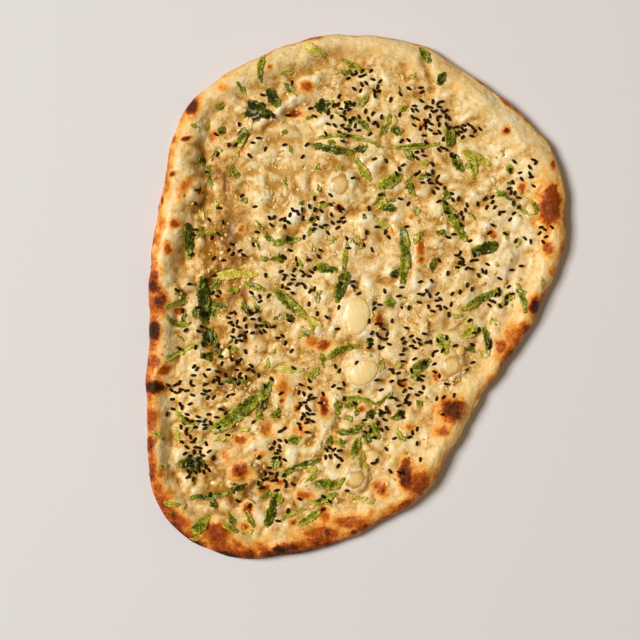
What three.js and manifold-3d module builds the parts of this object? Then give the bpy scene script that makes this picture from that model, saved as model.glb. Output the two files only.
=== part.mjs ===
// Garlic naan: a tear-shaped flatbread with a puffed rim, a blistered middle, slices of garlic, shreds of
// coriander and a scatter of nigella seeds. Millimetres, +Z up. The bread lies on z = 0, and the origin is
// under the middle of its width and length, with the broad end towards +Y.
import * as THREE from "three";
import { mergeVertices } from "three/addons/utils/BufferGeometryUtils.js";
import Module from "manifold-3d";

const wasm = await Module();
wasm.setup();

// Driving dimensions of the bread
const MIDDLE_HEIGHT = 6.8; // thickness inside the rim
const CREST_SHARE = 0.46; // how far across the rim its crest lies
const CREASE_DEPTH = 0.7; // the dip where the rim meets the middle
const CREASE_WIDTH = 3.2;
const BUBBLE_FADE = 6; // bubbles fade out over this distance from the edge
const BUBBLE_ROUNDNESS = 1.5; // the higher, the more pointed a bubble
const UNDERSIDE_ROUND = 9; // the underside curls up over this distance from the edge
const THINNEST = 3.2;
const RIPPLES = [[17, 0.4], [31, 0.3], [53, 0.22]]; // waves round the edge, and how far each moves it
const WIDTH_WAVES = [[9, 0.1], [23, 0.09]]; // waves in the rim's width, and the share of it that each adds

// How finely the bread is cut into cells
const CELLS = 48; // across its width, and along its length
const EDGE_CROWDING = 1.25; // above 1 the cells get narrower towards the edge
const OUTLINE_STEPS = 480;
const BIN = 6; // the side of the squares that facets are looked up by
const UNDERSIDE_RINGS = [1, 3.5, UNDERSIDE_ROUND];
const FOOT_CORNERS = 12; // the flat underside is a fan of this many large triangles
const FOOT_SHARE = 0.5;
const FOOT_MIDDLE = [-20, 12, 0]; // the fan's triangles meet here, near the middle of the outline

// Toppings
const RESTING_GAP = 0.35; // between a topping and the bread
const LEAF_THICKNESS = 0.7;
const LEAF_STEP = 2.6; // length of one cell along a shred
const LEAF_CORNERS = 12;
const LEAF_LOBES = 3;
const LEAF_LOBE_DEPTH = 0.12; // share of the leaf's reach
const SHRED_TIP = 0.3; // width at the ends, as a share of the full width
const SHRED_WIDEST = 0.85; // below 1 a shred is widest before its middle
const SHRED_BLUNTNESS = 0.7; // the lower, the blunter the ends
const GARLIC_THICKNESS = 2.2;
const GARLIC_SIDES = 16;
const GARLIC_PROFILE = [[0, 0], [0.88, 0], [1, 0.4], [0.9, 0.84], [0, 1]]; // shares of radius and thickness
const SEAT_RISE = 0.4; // the slices sit this far above the middle's own height
const SEAT_SIZE = 1.12; // radius of the flat that a slice lies in, as a share of the slice's own
const SEAT_RAMP = 0.6; // the bread rises round it over this share
const SEED_SIZE = [2.7, 1.6, 1.4];
const SEED_SEGMENTS = [6, 3];
const SEED_SUNK = 0.2; // share of a seed's height that lies below the bread's surface
const SEEDS_PER_SOLID = 6; // one seed in so many is made
const SEED_CLEARANCE = 2; // between a seed and the edge of another topping
const CLUMP_SPREAD = 0.7; // the lower, the more evenly seeds spread through a clump
const LOOSE_SEEDS = 150;
const LOOSE_REACH = 0.86; // loose seeds fall within this share of the way to the edge
const RANDOM_START = 20261;

// What counts as the same place, and as inside a facet
const SAME_PLACE = 1e-4;
const BARELY_OUTSIDE = -1e-6;

// Stations round the edge, clockwise from the top of the broad end: x and y, the width of the puffed rim
// there, its height, and the height of the edge's widest line
const RIM = [
  [-12, 127.6, 14, 9.4, 4], [12, 127.4, 14, 9.6, 4], [34.5, 121.3, 16, 10, 4.4],
  [54.6, 109, 22, 10.6, 4.8], [77.1, 91.4, 26, 11.2, 5], [92.3, 76.2, 25, 11.2, 5],
  [101.1, 55.1, 20, 11, 4.8], [102.9, 39.9, 17, 10.6, 4.6], [100.2, 18.9, 16, 10.4, 4.4],
  [93.6, 2.2, 14, 10.2, 4.2], [80.1, -23.3, 11, 9.2, 4], [62.8, -46.4, 12, 9.2, 3.8],
  [46.3, -75.7, 14, 10.4, 4.2], [36, -94.3, 15, 10.6, 4.4], [18.8, -107.6, 14, 9.8, 4],
  [-6.2, -119.8, 14, 9.4, 3.8], [-38.5, -128.4, 15, 10, 4], [-66, -126.7, 14, 10, 4.2],
  [-90.9, -112.5, 14, 10.2, 4.4], [-101.2, -87.5, 14, 10.6, 4.4], [-102.9, -62, 13, 10.4, 4.2],
  [-103, -44.3, 13, 10.4, 4.2], [-101.7, -11.5, 15, 11, 4.4], [-101.2, 18.4, 18, 11.2, 4.8],
  [-97.8, 36.5, 20, 11.6, 5], [-93.9, 59.5, 20, 11.6, 5], [-87.5, 83.1, 18, 11, 4.8],
  [-79.2, 97.3, 16, 10.4, 4.4], [-60.1, 110.5, 14, 9.6, 4.2], [-31.7, 124.2, 14, 9.2, 4],
];

// Bubbles that rise above the surface, and hollows of negative height: x, y, half length, half width,
// height, and the turn of the length from +X in degrees
const BUBBLES = [
  [46.7, -56.1, 10, 9, 3.2, 0], [27, -88, 13, 9, 3.4, 60], [34, -77, 12, 9, 1.6, 60],
  [14.4, -93.8, 6, 5, 1.8, 0], [87.9, -4.2, 8, 7, 2.2, 0], [94, 45, 11, 8, 1, 90],
  [-56.6, -85, 9, 8, 3, 0], [-55.2, -71.8, 7, 5, 1.8, 20], [-16.5, -54, 12, 5, 2.2, 80],
  [-35.6, -48.3, 8, 6, 1.8, 90], [-45.4, -68, 7, 5, 1.4, 0], [-23.3, 103, 7, 6, 1.8, 0],
  [-40, 88, 19, 5.5, 2.2, 36], [-42, 106, 12, 8, 1.6, 20], [-60, 98, 10, 8, 1.6, 40],
  [11.5, -14, 5, 4.5, 1.4, 90], [-17, -24, 7, 6, 2, 0], [36.5, 91, 12, 9, 2.2, 0],
  [30.6, 22.8, 14, 7, 2.4, 75], [57, 94, 11, 9, 1.8, 30], [70.8, 52, 10, 8, 1.6, 0],
  [2, 33, 12, 8, 2.2, 70], [-27, 40, 13, 9, 2, 20], [-46, 48, 11, 8, 1.5, 90],
  [-22, 67, 13, 9, 1.8, 0], [-56.6, -14, 13, 10, 2.2, 90], [-51.7, -28, 10, 8, 1.5, 0],
  [-27, -17, 10, 8, 1.8, 30], [-17.5, -4, 9, 7, 1.5, 90], [-81, -51, 12, 8, 2, 80],
  [-61, -53, 10, 8, 1.6, 30], [-84, -95, 10, 8, 1.6, 0], [-46, -107, 12, 8, 1.8, 0],
  [-54, -103.6, 6, 5, 1.6, 60], [-69, -112, 12, 7, 2, -30], [-27, -77, 11, 8, 1.6, 0],
  [-7, -85, 10, 7, 1.9, 0], [19, -48, 10, 8, 1.7, 0], [48, -2, 10, 8, 1.5, 30],
  [71, 15, 13, 10, 1.8, 0], [15, 104, 12, 7, 1.4, -20], [66, -22, 9, 6, 1.4, 55],
  [-73, -18, 10, 4.5, -3, 100], [-83.6, 15.4, 11, 9, -2, 90], [-82, 30, 9, 4.5, -1.8, 90],
  [-19, 22, 6, 4.5, -1.8, 60], [-89, -66, 10, 5, -1.8, 90], [-65, -93, 9, 5, -1.6, 0],
  [32, 108, 9, 4, -1.6, 70], [5, -38, 8, 6, -1.3, 0], [45, 70, 9, 6, -1.4, 110],
];

// Small lumps of dough and chopped garlic between the bubbles, drawn by rule
const LUMPS = 170;
const LUMP_RADIUS = [5, 9];
const LUMP_HEIGHT = [0.5, 1.6];
const LUMP_SLIMNESS = 0.75; // width as a share of length
const LUMP_FIELD = [105, 130]; // half width and half length of the field that they are drawn in
const LUMP_EDGE_CLEARANCE = 12;
const RIM_LUMPS = 54;
const RIM_LUMP_RADIUS = [6, 11];
const RIM_LUMP_HEIGHT = [-0.5, 1.3];
const RIM_LUMP_SLIMNESS = 0.7;
const RIM_LUMP_PLACE = [0.3, 0.8]; // how far across the rim they lie

// Slices of garlic: x, y, length, width and the turn of the length from +X in degrees
const GARLIC = [
  [-0.3, -10, 19.5, 13.6, 78], [3, -37.6, 16, 12, 35], [-8.5, 54, 12.5, 11, 60],
  [46, -34.5, 12, 10, 40], [-1, -89.5, 11.5, 10, 10],
];
const seatHeight = MIDDLE_HEIGHT + SEAT_RISE; // the flat that each slice has pressed into the bread

// Shreds of coriander: x, y, length, width, heading at the middle and bend from end to end, in degrees
const SHREDS = [
  [-58.1, -57.6, 31, 6.4, 38, 10], [-32.8, -4.1, 22, 4.4, -41, 8], [-59.6, 10.5, 22.5, 4, 3, -14],
  [-50.3, 4.6, 10.5, 3.6, -20, 0], [-75.1, -2.5, 24, 5.6, -86, 8], [-87.7, -3.6, 12.5, 2.4, 22, 10],
  [-88, -14, 14, 2.4, -10, 100], [-69.4, -23.3, 17, 2.4, -70, 10], [-86.6, -27.4, 16, 2.8, 28, -15],
  [-5.8, 19.5, 15, 2.2, -96, 10], [-7.7, 4.5, 16, 4.8, -107, 15], [-15.2, 13.2, 12, 3.8, -10, 20],
  [-33, -36, 14.3, 2.8, -3, 0], [-6.7, -25.9, 18.5, 3, 15, -45], [-59.6, -41.9, 13, 2, 3, 12],
  [-83.7, -60.7, 13.5, 2.4, -25, 45], [-3.9, -66.6, 13, 2.6, 7, 10], [-0.8, -74.6, 11, 3.6, -110, 0],
  [-81, -82, 13, 5.2, 5, 10], [-28.2, -83.5, 21.5, 3, 20, -14], [-14.2, -92.4, 13.5, 4.6, -4, 20],
  [-15.5, -99.6, 13, 2.8, 25, 20], [-23.3, -109, 13, 3, 31, 10], [-31.7, -106.5, 14, 1.8, 20, -40],
  [-41.6, -104.6, 18.7, 4, 76, 10], [-52.2, -109.2, 8.5, 2.2, -65, 0], [-72, -98.2, 19, 2.6, 8, 14],
  [-76.2, -111.6, 11, 5.4, 48, 0], [61, -1.5, 21.5, 3.4, 29, -6], [62.6, 23, 14, 5.4, 18, 12],
  [47.9, 36.3, 22.5, 4.4, -60, -6], [23.6, 19.8, 28, 4.2, -92, -26], [16.1, 55.9, 13.5, 5, 30, 8],
  [45.5, 78, 10.5, 5, -88, -30], [48.8, 65.2, 11, 3.6, -55, 20], [58.2, 67.4, 16, 4, -26, 0],
  [29, 73, 23, 2.2, 5, 6], [-3.5, 78, 35, 2, -9, -50], [-11.9, 71.2, 21, 3.4, -10, 20],
  [2.4, 62, 14.5, 3.2, -53, 8], [-0.8, 112, 14.5, 2.2, -34, -10], [-47.3, 110.6, 14, 2.4, -92, 50],
  [-41, 96.4, 11, 4.4, -60, 10], [-56.3, 77.2, 10.5, 4, -106, 0], [-82.2, 27.6, 16, 4.2, -88, 6],
  [-34.1, 27, 14, 3.2, 8, -20], [63.9, -22.4, 15, 2.8, -85, -30], [31.3, -34.1, 11, 4.4, 30, 0],
  [81, -2.2, 13, 2.8, -75, -28], [1.5, -50.3, 18, 2, -12, -50],
];

// Pieces of coriander leaf: x, y, length, width and heading in degrees
const LEAVES = [
  [-49, 90, 16.5, 11.5, -10], [-16.8, 92.7, 9.5, 8.5, 60], [8.2, -65.5, 11, 7, -60], [42, -22.3, 9.4, 7, -60],
];

// Clumps of seeds: x, y, half width, half height and how many seeds
const SEED_CLUMPS = [
  [36.5, 87.5, 10, 8, 42], [53.6, 81.6, 5, 4, 14], [4.6, 103.6, 8, 7, 16], [2, 86, 11, 8, 26],
  [-10, 88, 9, 9, 16], [36.5, 57, 9, 7, 14], [80.6, 59.5, 8, 8, 13], [71, 44.8, 10, 7, 14],
  [46, 44.8, 8, 8, 10], [-17.4, 40, 11, 9, 26], [-35, 36, 8, 7, 9], [-27, 8, 9, 6, 20],
  [-54, -13, 8, 8, 24], [-24.8, -53, 4, 12, 32], [-78.7, -43.4, 11, 8, 22], [-59, -38.5, 9, 7, 14],
  [-78.7, -70.3, 7, 11, 40], [-90, -50, 6, 7, 10], [-70, -60, 7, 6, 8], [-77, -84, 8, 7, 14],
  [-37, -75, 5, 5, 13], [-10.6, -77.7, 4, 5, 11], [-39.5, -90, 9, 6, 14], [10.5, -61.5, 6, 5, 11],
  [19.3, -54, 6, 6, 9], [11.5, -21.3, 5, 8, 17], [32, -24, 11, 8, 16], [40, 0, 8, 7, 13],
  [56, 15.4, 8, 6, 15], [70, -3, 5, 5, 8], [26.7, -43.4, 9, 7, 10], [92, 30, 4, 6, 7],
  [39, 67, 10, 6, 10],
];

const radians = (degrees) => (degrees * Math.PI) / 180;
const mix = (a, b, t) => a + (b - a) * t;
const clamp01 = (t) => Math.min(1, Math.max(0, t));
const smooth = (t) => clamp01(t) ** 2 * (3 - 2 * clamp01(t));

// The same draws every time: each call gives the next number from 0 to 1
function randomDraws(start) {
  const multiplier = 16807;
  const modulus = 2147483647;
  let state = start;
  return () => {
    state = (state * multiplier) % modulus;
    return state / modulus;
  };
}

// The edge of the bread: places, and at each the rim's width, its height and the height of the edge
const closedCurve = (points) => new THREE.CatmullRomCurve3(points, true, "centripetal");
const placeCurve = closedCurve(RIM.map(([x, y]) => new THREE.Vector3(x, y, 0)));
const shapeCurve = closedCurve(RIM.map(([, , ...shape]) => new THREE.Vector3(...shape)));
const addWaves = (list, angle) =>
  list.reduce((sum, [waves, size]) => sum + size * Math.sin(waves * angle + waves), 0);
const edge = Array.from({ length: OUTLINE_STEPS }, (_, n) => {
  const place = placeCurve.getPoint(n / OUTLINE_STEPS);
  const shape = shapeCurve.getPoint(n / OUTLINE_STEPS);
  const angle = Math.atan2(place.y, place.x);
  const reach = Math.hypot(place.x, place.y) + addWaves(RIPPLES, angle);
  const rimWidth = shape.x * (1 + addWaves(WIDTH_WAVES, angle));
  return {
    x: reach * Math.cos(angle),
    y: reach * Math.sin(angle),
    angle,
    reach,
    rimWidth,
    crown: shape.y,
    height: shape.z,
  };
});
const edgeByAngle = [...edge].sort((a, b) => a.angle - b.angle);

// The edge in one direction from the origin: how far off it is and how high
function edgeTowards(angle) {
  const next = edgeByAngle.findIndex((p) => p.angle > angle);
  const b = edgeByAngle[next < 0 ? 0 : next];
  const a = edgeByAngle[(next <= 0 ? edgeByAngle.length : next) - 1];
  const turn = 2 * Math.PI;
  const span = (b.angle - a.angle + turn) % turn;
  const along = ((angle - a.angle + turn) % turn) / span;
  return { reach: mix(a.reach, b.reach, along), height: mix(a.height, b.height, along) };
}

// How far a point lies inside the edge, with the rim's measures beside it
function nearestEdge(x, y) {
  let nearest = edge[0];
  let least = Infinity;
  for (const p of edge) {
    const apart = (p.x - x) ** 2 + (p.y - y) ** 2;
    if (apart < least) {
      least = apart;
      nearest = p;
    }
  }
  return { ...nearest, depth: Math.sqrt(least) };
}

// 0 at the middle of an oval and 1 on its edge
function ovalRadius(x, y, [cx, cy, halfLength, halfWidth], turn) {
  const dx = x - cx;
  const dy = y - cy;
  const along = dx * Math.cos(radians(turn)) + dy * Math.sin(radians(turn));
  const across = dy * Math.cos(radians(turn)) - dx * Math.sin(radians(turn));
  return Math.hypot(along / halfLength, across / halfWidth);
}

// A rounded dome of height 1 that runs out at radius 1
const dome = (radius) => (radius < 1 ? (1 - radius * radius) ** BUBBLE_ROUNDNESS : 0);

function middleLumps(draw) {
  const lumps = [];
  while (lumps.length < LUMPS) {
    const x = LUMP_FIELD[0] * mix(-1, 1, draw());
    const y = LUMP_FIELD[1] * mix(-1, 1, draw());
    const radius = mix(...LUMP_RADIUS, draw());
    const height = mix(...LUMP_HEIGHT, draw());
    if (edgeTowards(Math.atan2(y, x)).reach - Math.hypot(x, y) > LUMP_EDGE_CLEARANCE)
      lumps.push([x, y, radius, radius * LUMP_SLIMNESS, height, 360 * draw()]);
  }
  return lumps;
}

// Lumps and dips along the rim's crest, longer along the rim than across it
function rimLumps(draw) {
  const lumps = [];
  for (let n = 0; n < RIM_LUMPS; n++) {
    const { angle, reach, rimWidth } = edge[Math.floor(draw() * OUTLINE_STEPS)];
    const out = reach - rimWidth * mix(...RIM_LUMP_PLACE, draw());
    const radius = mix(...RIM_LUMP_RADIUS, draw());
    const height = mix(...RIM_LUMP_HEIGHT, draw());
    const turn = THREE.MathUtils.radToDeg(angle) + 90;
    const halfWidth = radius * RIM_LUMP_SLIMNESS;
    lumps.push([out * Math.cos(angle), out * Math.sin(angle), radius, halfWidth, height, turn]);
  }
  return lumps;
}
const lumpDraw = randomDraws(RANDOM_START);
const swellings = [...BUBBLES, ...middleLumps(lumpDraw), ...rimLumps(lumpDraw)];

// The rim's roll, without bubbles: a round outer flank, a crest, and a slope down to the middle
function rimProfile({ depth, rimWidth, crown, height }) {
  const crest = CREST_SHARE * rimWidth;
  if (depth < crest) return height + (crown - height) * Math.sqrt(1 - (1 - depth / crest) ** 2);
  const down = clamp01((depth - crest) / (rimWidth - crest));
  const crease = CREASE_DEPTH * Math.exp(-(((depth - rimWidth) / CREASE_WIDTH) ** 2));
  return mix(MIDDLE_HEIGHT, crown, 0.5 + 0.5 * Math.cos(Math.PI * down)) - crease;
}

// Height of the bread's top above the table
function breadTop(x, y) {
  const beside = nearestEdge(x, y);
  const inland = smooth(beside.depth / BUBBLE_FADE);
  let height = rimProfile(beside);
  for (const [cx, cy, halfLength, halfWidth, rise, turn] of swellings)
    height += inland * rise * dome(ovalRadius(x, y, [cx, cy, halfLength, halfWidth], turn));
  height = mix(height, Math.max(height, THINNEST), inland);
  for (const [cx, cy, length, width, turn] of GARLIC) {
    const radius = ovalRadius(x, y, [cx, cy, length / 2, width / 2], turn);
    height = mix(seatHeight, height, smooth((radius - SEAT_SIZE) / SEAT_RAMP));
  }
  return height;
}

// A square of cells bent to the bread's outline: u and v run from -1 to 1
function squareToBread(u, v) {
  const x = u * Math.sqrt(1 - (v * v) / 2);
  const y = v * Math.sqrt(1 - (u * u) / 2);
  const angle = Math.atan2(y, x);
  const towards = edgeTowards(angle);
  const reach = towards.reach * Math.hypot(x, y);
  return [reach * Math.cos(angle), reach * Math.sin(angle), towards.height];
}
const crowded = (t) => Math.sign(t) * (1 - (1 - Math.abs(t)) ** EDGE_CROWDING);

// The top as a bent square of cells: its points and triangles, and the indices round its edge
function topSheet() {
  const points = [];
  const triangles = [];
  const index = (i, j) => j * (CELLS + 1) + i;
  for (let j = 0; j <= CELLS; j++)
    for (let i = 0; i <= CELLS; i++) {
      const [x, y, height] = squareToBread(crowded((2 * i) / CELLS - 1), crowded((2 * j) / CELLS - 1));
      const onEdge = i === 0 || j === 0 || i === CELLS || j === CELLS;
      points.push([x, y, onEdge ? height : breadTop(x, y)]);
    }
  for (let j = 0; j < CELLS; j++)
    for (let i = 0; i < CELLS; i++) {
      const [a, b, c, d] = [index(i, j), index(i + 1, j), index(i + 1, j + 1), index(i, j + 1)];
      const cutsCorner = i < CELLS / 2 === j < CELLS / 2;
      if (cutsCorner) triangles.push([a, b, d], [b, c, d]);
      else triangles.push([a, b, c], [a, c, d]);
    }
  const ring = [];
  for (let i = 0; i < CELLS; i++) ring.push(index(i, 0));
  for (let j = 0; j < CELLS; j++) ring.push(index(CELLS, j));
  for (let i = CELLS; i > 0; i--) ring.push(index(i, CELLS));
  for (let j = CELLS; j > 0; j--) ring.push(index(0, j));
  return { points, triangles, ring };
}

// The underside: rings that curl down from the edge, then a flat foot of large triangles
function addUnderside({ points, triangles, ring: edgeRing }) {
  const outer = edgeRing.map((p) => points[p]);
  const addPoint = (x, y, z) => points.push([x, y, z]) - 1;
  let ring = edgeRing;
  for (const distance of UNDERSIDE_RINGS) {
    const curl = 1 - Math.sqrt(1 - (1 - distance / UNDERSIDE_ROUND) ** 2);
    const inner = outer.map(([x, y, z]) => {
      const share = 1 - distance / Math.hypot(x, y);
      return addPoint(x * share, y * share, z * curl);
    });
    ring.forEach((p, n) => {
      const m = (n + 1) % ring.length;
      triangles.push([p, inner[n], ring[m]], [ring[m], inner[n], inner[m]]);
    });
    ring = inner;
  }
  const span = ring.length / FOOT_CORNERS;
  const corners = outer
    .filter((_, n) => n % span === 0)
    .map(([x, y]) => addPoint(x * FOOT_SHARE, y * FOOT_SHARE, 0));
  ring.forEach((p, n) => {
    const nearest = Math.round(n / span) % FOOT_CORNERS;
    const following = Math.round((n + 1) / span) % FOOT_CORNERS;
    triangles.push([p, corners[nearest], ring[(n + 1) % ring.length]]);
    if (following !== nearest)
      triangles.push([corners[nearest], corners[following], ring[(n + 1) % ring.length]]);
  });
  const middle = points.push(FOOT_MIDDLE) - 1;
  corners.forEach((p, n) => triangles.push([p, middle, corners[(n + 1) % FOOT_CORNERS]]));
}

function closedGeometry(points, triangles) {
  const geometry = new THREE.BufferGeometry();
  geometry.setAttribute("position", new THREE.Float32BufferAttribute(points.flat(), 3));
  geometry.setIndex(triangles.flat());
  geometry.computeVertexNormals();
  return geometry;
}

// Solids for joining
function toSolid(geometry) {
  const bare = geometry.clone();
  bare.deleteAttribute("normal");
  bare.deleteAttribute("uv");
  const merged = mergeVertices(bare, SAME_PLACE);
  return new wasm.Manifold(
    new wasm.Mesh({
      numProp: 3,
      vertProperties: merged.attributes.position.array,
      triVerts: new Uint32Array(merged.index.array),
    }),
  );
}

function toGeometry(solid) {
  const mesh = solid.getMesh();
  const geometry = new THREE.BufferGeometry();
  geometry.setAttribute("position", new THREE.BufferAttribute(mesh.vertProperties, 3));
  geometry.setIndex(new THREE.BufferAttribute(mesh.triVerts, 1));
  geometry.computeVertexNormals();
  return geometry;
}

// The facets of the bread's top, flattened and sorted into square bins by their place
const bareBread = topSheet();
const binKey = (x, y) => `${Math.floor(x / BIN)},${Math.floor(y / BIN)}`;
const bins = new Map();
for (const triangle of bareBread.triangles) {
  const corners = triangle.map((n) => new THREE.Vector3(...bareBread.points[n]));
  const box = new THREE.Box3().setFromPoints(corners);
  const heights = new THREE.Vector3(...corners.map((p) => p.z));
  const flat = new THREE.Triangle(...corners.map((p) => p.clone().setZ(0)));
  for (let x = Math.floor(box.min.x / BIN) * BIN; x <= box.max.x; x += BIN)
    for (let y = Math.floor(box.min.y / BIN) * BIN; y <= box.max.y; y += BIN) {
      const key = binKey(x, y);
      if (!bins.has(key)) bins.set(key, []);
      bins.get(key).push({ flat, heights });
    }
}

// Height of the facets under a point, or the table's where there is no bread
function facetHeight(x, y) {
  const weights = new THREE.Vector3();
  for (const { flat, heights } of bins.get(binKey(x, y)) ?? []) {
    flat.getBarycoord(new THREE.Vector3(x, y, 0), weights);
    if (Math.min(weights.x, weights.y, weights.z) > BARELY_OUTSIDE) return weights.dot(heights);
  }
  return 0;
}

// The highest of the facets round a point
const AROUND = Array.from({ length: 6 }, (_, n) => (n * Math.PI) / 3);
function localTop(x, y) {
  const reach = LEAF_STEP / 2;
  const heights = AROUND.map((a) => facetHeight(x + reach * Math.cos(a), y + reach * Math.sin(a)));
  return Math.max(facetHeight(x, y), ...heights);
}

// How deep a triangle would lie in the bread, tried at points spread over it
const TRIALS = [[1, 1, 1], [4, 1, 1], [1, 4, 1], [1, 1, 4], [1, 1, 0], [0, 1, 1], [1, 0, 1]];
function depthInBread(corners) {
  const depths = TRIALS.map((weights) => {
    const trial = new THREE.Vector3();
    corners.forEach((p, n) => trial.addScaledVector(new THREE.Vector3(...p), weights[n]));
    trial.divideScalar(weights[0] + weights[1] + weights[2]);
    return facetHeight(trial.x, trial.y) - trial.z;
  });
  return Math.max(...depths);
}

// A thin wavy solid over a flat pattern of points and triangles: it follows the bread, clear of it
function layOnBread(flat, pattern, rim) {
  const resting = flat.map(([x, y]) => [x, y, localTop(x, y)]);
  const lift = Math.max(...pattern.map((t) => depthInBread(t.map((n) => resting[n])))) + RESTING_GAP;
  const lower = resting.map(([x, y, z]) => [x, y, z + lift]);
  const upper = lower.map(([x, y, z]) => [x, y, z + LEAF_THICKNESS]);
  const above = (n) => n + flat.length;
  const triangles = [];
  for (const [a, b, c] of pattern) triangles.push([above(a), above(b), above(c)], [a, c, b]);
  rim.forEach((a, n) => {
    const b = rim[(n + 1) % rim.length];
    triangles.push([a, b, above(b)], [a, above(b), above(a)]);
  });
  return closedGeometry([...lower, ...upper], triangles);
}

// Points along the middle line of a shred, with the side direction and the share of its length at each
function shredLine([x, y, length, , heading, bend]) {
  const steps = 2 * Math.max(2, Math.round(length / LEAF_STEP / 2));
  const line = [];
  const at = new THREE.Vector2(0, 0);
  for (let n = 0; n <= steps; n++) {
    const angle = radians(heading + bend * (n / steps - 0.5));
    line.push({ x: at.x, y: at.y, side: [-Math.sin(angle), Math.cos(angle)], share: n / steps });
    at.x += (length / steps) * Math.cos(angle);
    at.y += (length / steps) * Math.sin(angle);
  }
  const middle = { ...line[steps / 2] };
  for (const p of line) {
    p.x += x - middle.x;
    p.y += y - middle.y;
  }
  return line;
}

// A shred ends in blunt tips
const shredWidth = (share) =>
  mix(SHRED_TIP, 1, Math.sin(Math.PI * share ** SHRED_WIDEST) ** SHRED_BLUNTNESS);

function shredGeometry(shred) {
  const line = shredLine(shred);
  const flat = [];
  for (const { x, y, side, share } of line) {
    const reach = (shred[3] * shredWidth(share)) / 2;
    flat.push([x - side[0] * reach, y - side[1] * reach], [x + side[0] * reach, y + side[1] * reach]);
  }
  const pattern = [];
  for (let n = 0; n + 2 < flat.length; n += 2) pattern.push([n, n + 2, n + 3], [n, n + 3, n + 1]);
  const right = line.map((_, n) => 2 * n);
  const left = line.map((_, n) => 2 * n + 1).reverse();
  return layOnBread(flat, pattern, [...right, ...left]);
}

// A piece of leaf is an oval with lobes
function leafGeometry([x, y, length, width, heading]) {
  const flat = [[x, y]];
  const pattern = [];
  for (let n = 0; n < LEAF_CORNERS; n++) {
    const angle = (2 * Math.PI * n) / LEAF_CORNERS;
    const reach = 0.5 * (1 - LEAF_LOBE_DEPTH * (1 - Math.cos(LEAF_LOBES * angle)));
    const corner = new THREE.Vector2(length * reach * Math.cos(angle), width * reach * Math.sin(angle));
    corner.rotateAround(new THREE.Vector2(0, 0), radians(heading));
    flat.push([x + corner.x, y + corner.y]);
    pattern.push([0, n + 1, ((n + 1) % LEAF_CORNERS) + 1]);
  }
  const rim = pattern.map(([, n]) => n);
  return layOnBread(flat, pattern, rim);
}

// A slice of a clove: an oval disc with rounded edges and a low crown
function garlicGeometry([, , length, width]) {
  const outline = GARLIC_PROFILE.map(([radius, z]) => new THREE.Vector2(radius, z * GARLIC_THICKNESS));
  const geometry = new THREE.LatheGeometry(outline, GARLIC_SIDES);
  geometry.rotateX(Math.PI / 2);
  geometry.scale(length / 2, width / 2, 1);
  return geometry;
}

// Where the seeds fall: clump by clump, then loose ones all over the middle
function seedPlaces() {
  const draw = randomDraws(RANDOM_START + 1);
  const places = [];
  for (const [cx, cy, halfWidth, halfHeight, count] of SEED_CLUMPS)
    for (let n = 0; n < count; n++) {
      const angle = 2 * Math.PI * draw();
      const out = draw() ** CLUMP_SPREAD;
      const x = cx + halfWidth * out * Math.cos(angle);
      const y = cy + halfHeight * out * Math.sin(angle);
      places.push([x, y, 360 * draw()]);
    }
  for (let n = 0; n < LOOSE_SEEDS; n++) {
    const angle = 2 * Math.PI * draw();
    const out = LOOSE_REACH * Math.sqrt(draw());
    const { reach: whole } = edgeTowards(angle > Math.PI ? angle - 2 * Math.PI : angle);
    const reach = whole * out;
    places.push([reach * Math.cos(angle), reach * Math.sin(angle), 360 * draw()]);
  }
  return places;
}

function clearOfToppings(x, y) {
  const onGarlic = GARLIC.some(
    ([cx, cy, length, width, turn]) =>
      ovalRadius(x, y, [cx, cy, length / 2 + SEED_CLEARANCE, width / 2 + SEED_CLEARANCE], turn) < 1,
  );
  const onShred = SHREDS.some((shred) =>
    shredLine(shred).some((p) => Math.hypot(p.x - x, p.y - y) < shred[3] / 2 + SEED_CLEARANCE),
  );
  const onLeaf = LEAVES.some(
    ([cx, cy, length]) => Math.hypot(cx - x, cy - y) < length / 2 + SEED_CLEARANCE,
  );
  return !onGarlic && !onShred && !onLeaf;
}

// A seed half sunk in the bread, level with the slope beneath it
function seedSolid([x, y, turn]) {
  const seed = new THREE.SphereGeometry(0.5, ...SEED_SEGMENTS);
  seed.rotateZ(Math.PI / 2);
  seed.scale(...SEED_SIZE);
  seed.rotateZ(radians(turn));
  seed.translate(x, y, facetHeight(x, y) + SEED_SIZE[2] * (0.5 - SEED_SUNK));
  return toSolid(seed);
}

const finishes = {
  bread: new THREE.MeshStandardMaterial({ color: 0xe2c48a, roughness: 0.6, metalness: 0 }),
  garlic: new THREE.MeshStandardMaterial({ color: 0xf3d999, roughness: 0.35, metalness: 0 }),
  coriander: new THREE.MeshStandardMaterial({ color: 0x5f7a1c, roughness: 0.45, metalness: 0 }),
};

function addPiece(group, name, geometry, finish) {
  const mesh = new THREE.Mesh(geometry, finish);
  mesh.name = name;
  group.add(mesh);
  return mesh;
}

const naan = new THREE.Group();

const seeds = seedPlaces()
  .filter((_, n) => n % SEEDS_PER_SOLID === 0)
  .filter(([x, y]) => clearOfToppings(x, y))
  .map(seedSolid);
addUnderside(bareBread);
const bareSolid = toSolid(closedGeometry(bareBread.points, bareBread.triangles));
const breadWithSeeds = seeds.reduce((bread, seed) => bread.add(seed), bareSolid);
addPiece(naan, "bread", toGeometry(breadWithSeeds), finishes.bread);

GARLIC.forEach((slice, n) => {
  const mesh = addPiece(naan, `garlic_slice_${n + 1}`, garlicGeometry(slice), finishes.garlic);
  mesh.position.set(slice[0], slice[1], seatHeight + RESTING_GAP);
  mesh.rotation.z = radians(slice[4]);
});

SHREDS.forEach((shred, n) => {
  const name = `coriander_shred_${String(n + 1).padStart(2, "0")}`;
  addPiece(naan, name, shredGeometry(shred), finishes.coriander);
});

LEAVES.forEach((leaf, n) => {
  addPiece(naan, `coriander_leaf_${n + 1}`, leafGeometry(leaf), finishes.coriander);
});

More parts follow.
